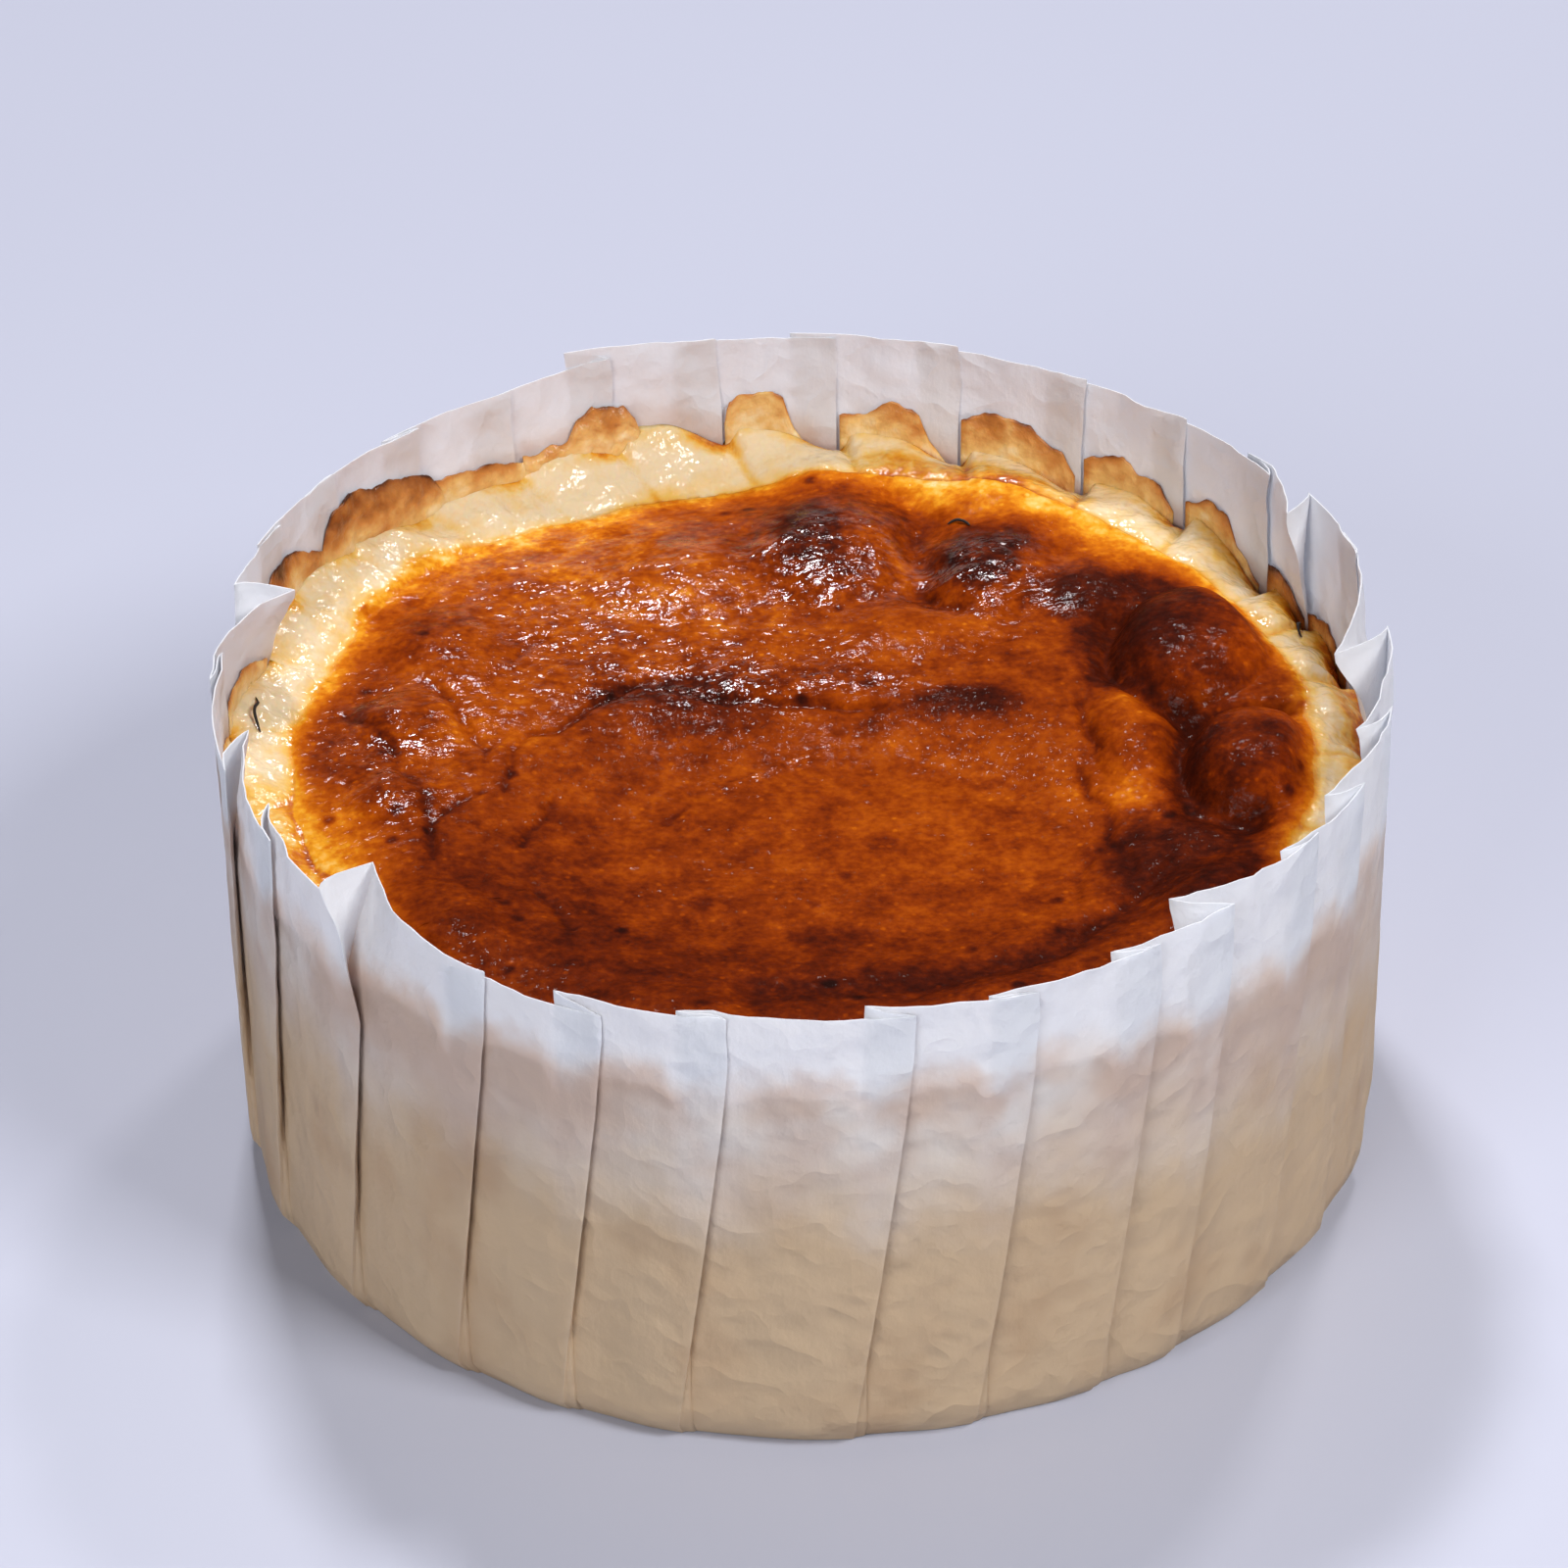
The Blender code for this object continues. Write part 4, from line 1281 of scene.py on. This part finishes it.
@dataclass(frozen=True)
class FilmFinish:
    """Amber to brown skin of dried custard."""

    stops: tuple = (
        (0.0, linear(246, 226, 184)),
        (0.25, linear(232, 188, 116)),
        (0.5, linear(204, 138, 70)),
        (0.75, linear(156, 92, 42)),
        (1.0, linear(76, 36, 14)),
    )

    def material(self) -> bpy.types.Material:
        """Builds the material.

        Returns:
            The film's material, which reads the mesh's bake values.
        """
        s = Shader("browned_film")
        mottle = s.noise(0.0016, 3.0, 0.6)
        cloud = s.noise(0.006, 2.0)
        level = s.attribute("bake") + mottle * 0.13 + cloud * 0.3
        normal = s.bump(mottle + s.noise(0.0005) * 0.3, 0.0001)
        colour = s.ramp(level, self.stops)
        return s.finish(s.surface(colour, 0.32 + mottle * 0.1, normal, 0.4, 0.25))


@dataclass
class StuckFilms:
    """The browned films above the ring, one for each pleat that has one."""

    pleats: Pleats
    relief: Relief
    films: tuple[Film, ...] = made(Film, (
        # The first two films, at the right, are darker than their browning alone: painted shade
        # where the wall shades the ring.
        (((15.5, 50), (18, 52.5), (21, 54), (24.8, 53.5)), 1.05),
        (((25.5, 52), (28, 54.8), (32.8, 55.5)), 1),
        (((34.2, 51), (38, 54.7), (39.5, 58.6), (42, 59.1), (45.6, 56.9)), 0.62),
        (((47.2, 54.4), (49, 57.7), (52, 57.5), (54, 59.5), (58.6, 57.6)), 0.48),
        (((59.6, 54.4), (61, 57.3), (63, 58.3), (65, 60.3), (70, 60.8), (72.6, 58.9)), 0.48),
        (((73.6, 51.3), (76, 55.7), (77, 59.1), (78, 60.6), (80, 60.9), (83, 58.8), (85.6, 58.2)),
            0.44),
        (((88.5, 52), (90.5, 57), (91.5, 61.4), (92.5, 62.2), (96, 61.9), (97.3, 61),
            (97.7, 57.7)), 0.36),
        (((98.5, 53.2), (101, 55.4), (104, 56.7), (107.5, 58.2)), 0.6, 0.3),
        (((106.6, 56.5), (107.3, 60.2), (108.6, 62.6), (112, 63.6), (113.6, 62.4), (115, 59.3),
            (120, 58.4)), 0.56, 1.3),
        (((117, 57.4), (120, 57.9), (124, 59.6), (127, 59.8), (131, 60.6)), 0.54, 0.35),
        (((129.6, 57), (131.6, 61.6), (135, 63.4), (139, 64.5), (143, 66), (146.4, 65),
            (148.4, 60)), 0.66, 0.8),
        (((147.6, 60), (150, 62.2), (154, 64.3), (158, 63.9), (161, 61.6), (163.6, 59.5)), 0.68),
        (((165, 57.4), (169, 60), (173, 59.2), (176.7, 58.4)), 0.55),
        (((178, 56.4), (182, 58.2), (187, 57.9), (190.6, 57)), 0.5),
    ))  # fmt: skip
    across: float = 0.35
    rows: int = 22
    sink: float = 2.2
    gap: float = 0.12
    bridge: float = 1.6
    thickest: float = 1.2
    least: float = 0.3
    finish: FilmFinish = FilmFinish()
    rags: Noise = seeded(61)
    lumps: Noise = seeded(67)

    def build(self) -> list[bpy.types.Object]:
        """Models the films."""
        material = self.finish.material()
        return [self._film(number, film, material) for number, film in enumerate(self.films, 1)]

    def _film(self, number: int, film: Film, material: bpy.types.Material) -> bpy.types.Object:
        """Models one film.

        Args:
            number: its number, for its name.
            film: its outline.
            material: what it wears.

        Returns:
            The finished object.
        """
        start, end = film.upper[0][0], film.upper[-1][0]
        columns = max(8, round(math.radians(end - start) * self.pleats.radii[-1] / self.across))
        sheet = new_grid(f"browned_film_{number}", columns, self.rows)
        square = places_of(sheet)
        degrees = start + (square[:, 0] + 1.0) / 2.0 * (end - start)
        up = (square[:, 1] + 1.0) / 2.0
        angle = np.radians(degrees)
        arc = angle * self.pleats.radii[-1]
        ragged = 0.5 * self.rags.layered(arc / 2.6, np.full_like(arc, 3.7 * number), 3)
        upper = np.interp(degrees, *zip(*film.upper)) + ragged
        lower = self.relief.edge_height(angle) - self.sink
        upper = np.maximum(upper, lower + self.least)
        height = lower + (upper - lower) * up
        bulge = self.lumps.layered(arc / 2.4, height / 2.0, 3)
        rim = np.minimum(1.0, 3.0 * (1.0 - up) + 0.25)
        rim = rim * np.minimum(1.0, (1.0 - np.abs(square[:, 0])) * 6.0 + 0.25)
        body = film.thickness * (0.75 + 0.35 * bulge) * rim + 0.08
        radius = self.pleats.bridged_radius(angle, height, self.bridge) - self.gap - body / 2.0
        move_to(sheet, radius * np.cos(angle) * MM, radius * np.sin(angle) * MM, height * MM)
        uneven = np.clip(0.5 + 1.2 * self.lumps(arc / 3.1, np.full_like(arc, 8.0)), 0.0, 1.0)
        crisp = np.exp(-(upper - height) / 0.45) * uneven
        above = smooth_step(self.sink, self.sink + 5.0, height - lower)
        dark = film.bake * (0.45 + 0.55 * above) + 0.4 * crisp - 0.1 * bulge
        write_attribute(sheet, "bake", dark)
        group = sheet.vertex_groups.new(name="body")
        for vertex, share in enumerate(body / self.thickest):
            group.add([vertex], float(min(share, 1.0)), "REPLACE")
        thicken(sheet, self.thickest, group.name)
        bpy.ops.object.shade_smooth()
        wear(sheet, material)
        return sheet


@dataclass(frozen=True)
class Thread:
    """A burnt thread: where it runs over the cake and how high it arches, in millimetres."""

    points: Pairs
    arch: float


@dataclass
class BurntThreads:
    """Three short black curls that lie on the custard."""

    relief: Relief
    cake: Cheesecake
    threads: tuple[Thread, ...] = made(Thread, (
        (((-70.4, 11.5), (-69.7, 9.9), (-70.4, 7.9), (-69.9, 6.1), (-69.3, 4.8)), 0.9),
        (((19.6, 51.6), (20.6, 52), (21.6, 51.4), (22.3, 50.2), (22.7, 49.2)), 0.25),
        (((64.7, 30), (65.4, 28.1), (64.5, 26.3), (65.4, 25.3)), 0.9),
    ))  # fmt: skip
    radius: float = 0.21
    lift: float = 0.7
    steps: int = 36
    sides: int = 8

    def build(self) -> list[bpy.types.Object]:
        """Models the threads.

        Returns:
            The finished objects.
        """
        s = Shader("burnt_thread")
        tone = s.mix(s.noise(0.0006).step(-0.6, 0.6), linear(12, 8, 7), linear(26, 17, 13))
        material = s.finish(s.surface(tone, 0.6))
        threads = enumerate(self.threads, 1)
        return [self._thread(number, thread, material) for number, thread in threads]

    def _thread(
        self, number: int, thread: Thread, material: bpy.types.Material
    ) -> bpy.types.Object:
        """Models one thread as a tapering tube.

        Args:
            number: its number, for its name.
            thread: its path.
            material: what it wears.

        Returns:
            The finished object.
        """
        tube = new_grid(f"burnt_thread_{number}", self.sides, self.steps)
        square = places_of(tube)
        around = (square[:, 0] + 1.0) * math.pi
        along = (square[:, 1] + 1.0) / 2.0
        line = np.linspace(0.0, 1.0, self.steps + 1)
        knots = np.linspace(0.0, 1.0, len(thread.points))
        x, y = (self._rounded(line, knots, values) for values in zip(*thread.points))
        angle = np.arctan2(y, x)
        edge = self.cake.side_radius(angle, self.relief.edge_height(angle))
        z = self.relief.top(x, y, edge) + self.radius * self.lift
        z = z + thread.arch * np.sin(math.pi * line) ** 2
        path = np.column_stack((x, y, z))
        ahead = np.gradient(path, axis=0)
        ahead /= np.linalg.norm(ahead, axis=1)[:, None]
        side = np.cross(ahead, (0.0, 0.0, 1.0))
        side /= np.linalg.norm(side, axis=1)[:, None]
        over = np.cross(side, ahead)
        index = np.rint(along * self.steps).astype(int)
        girth = self.radius * (1.0 - 0.75 * np.abs(2.0 * along - 1.0) ** 3)
        out = np.cos(around)[:, None] * side[index] + np.sin(around)[:, None] * over[index]
        places = path[index] + out * girth[:, None]
        move_to(tube, *(places * MM).T)
        weld(0.000002)
        select_rim()
        bpy.ops.mesh.fill()
        face_outwards()
        bpy.ops.object.shade_smooth()
        wear(tube, material)
        return tube

    @staticmethod
    def _rounded(line: Array, knots: Array, values: tuple[float, ...]) -> Array:
        """Reads a value along the path, with its corners rounded."""
        spread = 0.5 * knots[1] * np.linspace(-1.0, 1.0, 7)
        return np.mean([np.interp(line + shift, knots, values) for shift in spread], axis=0)


# --- the paper case -------------------------------------------------------------------------
@dataclass(frozen=True)
class PaperFinish:
    """Baking parchment: cool white where it stands free, warmer where the cake bakes it; the warm
    tint near the cake is partly painted light bounced from the custard, and the blotchy band by the
    custard's edge holds painted shade.
    """

    clean: Colour = linear(245, 247, 251)
    warm: Colour = linear(242, 233, 224)
    tanned: Colour = linear(218, 186, 142)
    toasted: Colour = linear(170, 120, 74)
    damp_and_shade: Colour = linear(204, 166, 138)
    see_through: float = 0.36

    def material(self) -> bpy.types.Material:
        """Builds the material.

        Returns:
            The paper's material, which reads the mesh's height above the cake's edge.
        """
        s = Shader("baking_parchment")
        above = s.attribute("above")
        cloud = s.noise(0.011, 4.0, 0.6)
        blot = s.noise(0.018, 3.0, 0.55)
        grain = s.noise(0.0006, 2.0)
        fibre = s.noise(1.0, 2.0, 0.5, s.stretched((900.0, 900.0, 160.0)))
        # Painted bounce light in part: the paper is tinted warm near the cake's edge, partly
        # staining and partly light bounced from the custard.
        warm = (above + cloud * 3.0).step(6.0, -3.0)
        tan = (above + cloud * 7.0).step(-2.0, -26.0)
        band = (above + s.noise(0.003) * 2.0).step(5.5, -1.0)
        band = band * (above + cloud * 4.0).step(-22.0, -2.0)
        # Painted shade in part: a blotchy pinkish-brown band around the custard's edge, partly a
        # moisture stain and partly the shade on the low part of the panels.
        damp_and_shade = band * (blot + 0.25).step(-0.3, 0.4)
        toast = (blot + 0.15).step(0.1, 0.9) * (above + cloud * 4.0).step(-1.0, -12.0)
        colour = s.mix(warm * 0.8, self.clean, self.warm)
        colour = s.mix(tan * 0.85, colour, self.tanned)
        colour = s.mix(toast * 0.4, colour, self.toasted)
        colour = s.mix(damp_and_shade * 0.65, colour, self.damp_and_shade)
        crumple = abs(s.noise(0.012, 2.0, 0.5)) + abs(s.noise(0.005, 1.5, 0.5)) * 0.3
        normal = s.bump(grain * 0.5 + fibre * 0.5 + cloud * 1.2 - crumple * 14.0, 0.00006)
        glow = s.add("ShaderNodeBsdfTranslucent", None, {"Color": self.clean})
        return s.finish(s.blend(self.see_through, s.surface(colour, 0.5, normal, 0.4), glow))


@dataclass
class PaperCase:
    """One sheet of parchment, gathered into pleats that lie over each other.

    Its creases of more than crease degrees stay sharp, and the floor's innermost ring, which
    lies within the radius hub, closes into one point."""

    pleats: Pleats
    relief: Relief
    thickness: float = 0.16
    crease: float = 50.0
    hub: float = 8.0
    panel_steps: tuple[float, ...] = (
        0.0, 0.03, 0.08, 0.15, 0.22, 0.3, 0.38, 0.46, 0.54, 0.62, 0.7, 0.78, 0.85, 0.91, 0.96,
        0.99, 1.0,
    )  # fmt: skip
    tuck_steps: tuple[float, ...] = (0.06, 0.2, 0.4, 0.6, 0.8, 0.94)
    floor_shares: tuple[float, ...] = (0.02, 0.2, 0.4, 0.6, 0.8, 0.9, 0.97)
    wall_rows: int = 44
    finish: PaperFinish = PaperFinish()

    def build(self) -> bpy.types.Object:
        """Models the case.

        Returns:
            The finished object.
        """
        per_pleat = len(self.panel_steps) + len(self.tuck_steps)
        columns = per_pleat * self.pleats.count
        rows = len(self.floor_shares) + self.wall_rows
        case = new_grid("parchment_case", columns, rows)
        square = places_of(case)
        column = np.rint((square[:, 0] + 1.0) / 2.0 * columns).astype(int) % columns
        row = np.rint((square[:, 1] + 1.0) / 2.0 * rows).astype(int)
        up = np.clip((row - len(self.floor_shares)) / self.wall_rows, 0.0, 1.0) ** 0.85
        angle, radius, height = self._wall(column // per_pleat, column % per_pleat, up)
        shares = np.array([*self.floor_shares, 1.0])[np.minimum(row, len(self.floor_shares))]
        radius = radius * shares
        x, y = radius * np.cos(angle), radius * np.sin(angle)
        move_to(case, x * MM, y * MM, height * MM)
        self._close(case)
        places = places_of(case) / MM
        around = np.arctan2(places[:, 1], places[:, 0])
        write_attribute(case, "above", places[:, 2] - self.relief.edge_height(around))
        wear(case, self.finish.material())
        return case

    def _wall(self, pleat: Array, place: Array, up: Array) -> tuple:
        """Places points on the gathered wall.

        Args:
            pleat: number of each point's pleat.
            place: number of its step, over the panel and then the layer tucked behind it.
            up: share of the way from the foot to the cut edge.

        Returns:
            Azimuths in radians, radii and heights in millimetres.
        """
        pleats, panels = self.pleats, len(self.panel_steps)
        on_panel = place < panels
        along = np.array([*self.panel_steps, *([1.0] * len(self.tuck_steps))])[place]
        back = np.array([*([0.0] * panels), *self.tuck_steps])[place]
        corners, leans = pleats.each("top"), pleats.each("lean")
        near, far = corners[pleat], corners[pleat + 1]
        low = near - pleats.each("fall")[pleat]
        edge = np.where(on_panel, near + (low - near) * along, low + (far - low) * back)
        foot = pleats.heights[0]
        height = foot + (edge - foot) * up
        start = pleats.folds[pleat] + pleats.sway(pleat, height)
        turn = pleats.folds[pleat + 1] + pleats.sway((pleat + 1) % pleats.count, height)
        radius, depth, _ = pleats.at(height)
        share = pleats.lean_share(height)
        opened = pleats.each("open")[pleat + 1] * share / radius
        end = turn + pleats.reach(height) - opened
        angle = np.where(on_panel, start + (end - start) * along, end + (turn - end) * back)
        tucked = np.interp(back, (0.0, 0.12, 0.88, 1.0), (0.0, 0.42, 0.58, 1.0))
        out = radius - depth * np.where(on_panel, 1.0 - pleats.rise(along), tucked)
        lean = np.where(on_panel, leans[pleat] * (1.0 - along) ** 2, leans[pleat + 1] * back**2)
        lean = lean * share
        out = out - lean + pleats.ruffle(angle % math.tau, height)
        return angle, np.minimum(out, pleats.widest), height - pleats.lean_drop * lean

    def _close(self, case: bpy.types.Object) -> None:
        """Joins the sheet's ends, closes its floor and gives it its thickness.

        Args:
            case: the gathered sheet.
        """
        weld(0.000001)
        bpy.ops.object.mode_set(mode="OBJECT")
        for vertex in case.data.vertices:
            vertex.select = math.hypot(vertex.co.x, vertex.co.y) < self.hub * MM
        bpy.ops.object.mode_set(mode="EDIT")
        bpy.ops.mesh.merge(type="CENTER")
        face_outwards()
        thicken(case, self.thickness)
        bpy.ops.object.shade_smooth_by_angle(angle=math.radians(self.crease))


# --- the studio -----------------------------------------------------------------------------
@dataclass(frozen=True)
class Lamp:
    """A soft square lamp that looks at the cake."""

    name: str
    azimuth: float
    elevation: float
    distance: float
    size: float
    power: float
    colour: tuple[float, float, float]

    def build(self) -> bpy.types.Object:
        """Adds the lamp.

        Returns:
            The lamp's object.
        """
        around, above = math.radians(self.azimuth), math.radians(self.elevation)
        out = math.cos(above)
        way = Vector((out * math.cos(around), out * math.sin(around), math.sin(above)))
        light = bpy.data.lights.new(self.name, "AREA")
        light.size = self.size
        light.energy = self.power
        light.color = self.colour
        lamp = bpy.data.objects.new(self.name, light)
        bpy.context.scene.collection.objects.link(lamp)
        lamp.location = Vector(LOOKED_AT) + way * self.distance
        lamp.rotation_euler = way.to_track_quat("Z", "Y").to_euler()
        return lamp


@dataclass
class Studio:
    """A plain pale floor, soft lamps and the camera of the photograph."""

    floor_size: float = 4.0
    floor_colour: Colour = linear(186, 190, 208)
    floor_paler: Colour = linear(190, 194, 211)
    sky: Colour = (0.64, 0.61, 0.66, 1.0)
    sky_strength: float = 0.1
    eye: tuple[float, float, float] = (0.0, -0.7620547, 0.5818430)
    ahead: tuple[float, float, float] = (-0.00273997, 0.81958019, -0.57295795)
    upward: tuple[float, float, float] = (0.01768014, 0.57291025, 0.8194274)
    lens: float = 166.98
    sensor: float = 36.0
    lamps: tuple[Lamp, ...] = made(Lamp, (
        ("key", -38, 47, 1.3, 0.4, 11.7, (1, 0.98, 0.97)),
        ("back", 102, 57, 1.2, 0.17, 7.8, (0.97, 0.96, 1)),
        ("glint", 66, 52, 1.2, 0.11, 2.6, (1, 0.95, 0.96)),
        ("fill", 238, 28, 1.4, 0.7, 9, (0.97, 0.98, 1)),
    ))  # fmt: skip

    def build(self) -> None:
        """Adds the floor, the lamps, the sky and the camera."""
        deselect_all()
        bpy.ops.mesh.primitive_plane_add(size=self.floor_size)
        floor = bpy.context.object
        floor.name = "floor"
        s = Shader("pale_floor")
        tone = s.mix(s.noise(0.3, 2.0).step(-1.0, 1.0), self.floor_colour, self.floor_paler)
        wear(floor, s.finish(s.surface(tone, 0.5)))
        for lamp in self.lamps:
            lamp.build()
        scene = bpy.context.scene
        scene.world = bpy.data.worlds.new("studio")
        scene.world.use_nodes = True
        sky = scene.world.node_tree.nodes["Background"]
        sky.inputs["Color"].default_value = self.sky
        sky.inputs["Strength"].default_value = self.sky_strength
        scene.view_settings.view_transform = "Standard"
        self._camera(scene)

    def _camera(self, scene: bpy.types.Scene) -> None:
        """Stands the camera where the photograph was taken from.

        Args:
            scene: the scene that it serves.
        """
        camera = bpy.data.objects.new("camera", bpy.data.cameras.new("camera"))
        scene.collection.objects.link(camera)
        camera.data.lens = self.lens
        camera.data.sensor_width = self.sensor
        back = -Vector(self.ahead).normalized()
        up = Vector(self.upward).normalized()
        right = up.cross(back).normalized()
        turn = Matrix((right, up, back)).transposed()
        camera.matrix_world = Matrix.Translation(self.eye) @ turn.to_4x4()
        scene.camera = camera


# --- putting it together --------------------------------------------------------------------
def report(piece: bpy.types.Object) -> None:
    """Logs a finished piece's name and size."""
    size = [round(side / MM, 1) for side in piece.dimensions]
    LOG.info("%s: %d faces, %s mm", piece.name, len(piece.data.polygons), size)


def main() -> None:
    """Builds and dresses each piece, then the studio around them."""
    logging.basicConfig(level=logging.INFO, format="%(name)s: %(message)s")
    pleats = Pleats()
    relief = Relief(pleats)
    body = Cheesecake(pleats, relief)
    cake = body.build()
    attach(cake, BODY)
    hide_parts("cheesecake")
    report(cake)
    case = PaperCase(pleats, relief).build()
    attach(case, BODY)
    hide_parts("paper_case")
    report(case)
    for piece in StuckFilms(pleats, relief).build() + BurntThreads(relief, body).build():
        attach(piece, BODY)
        report(piece)
    Studio().build()


if __name__ == "__main__":
    main()
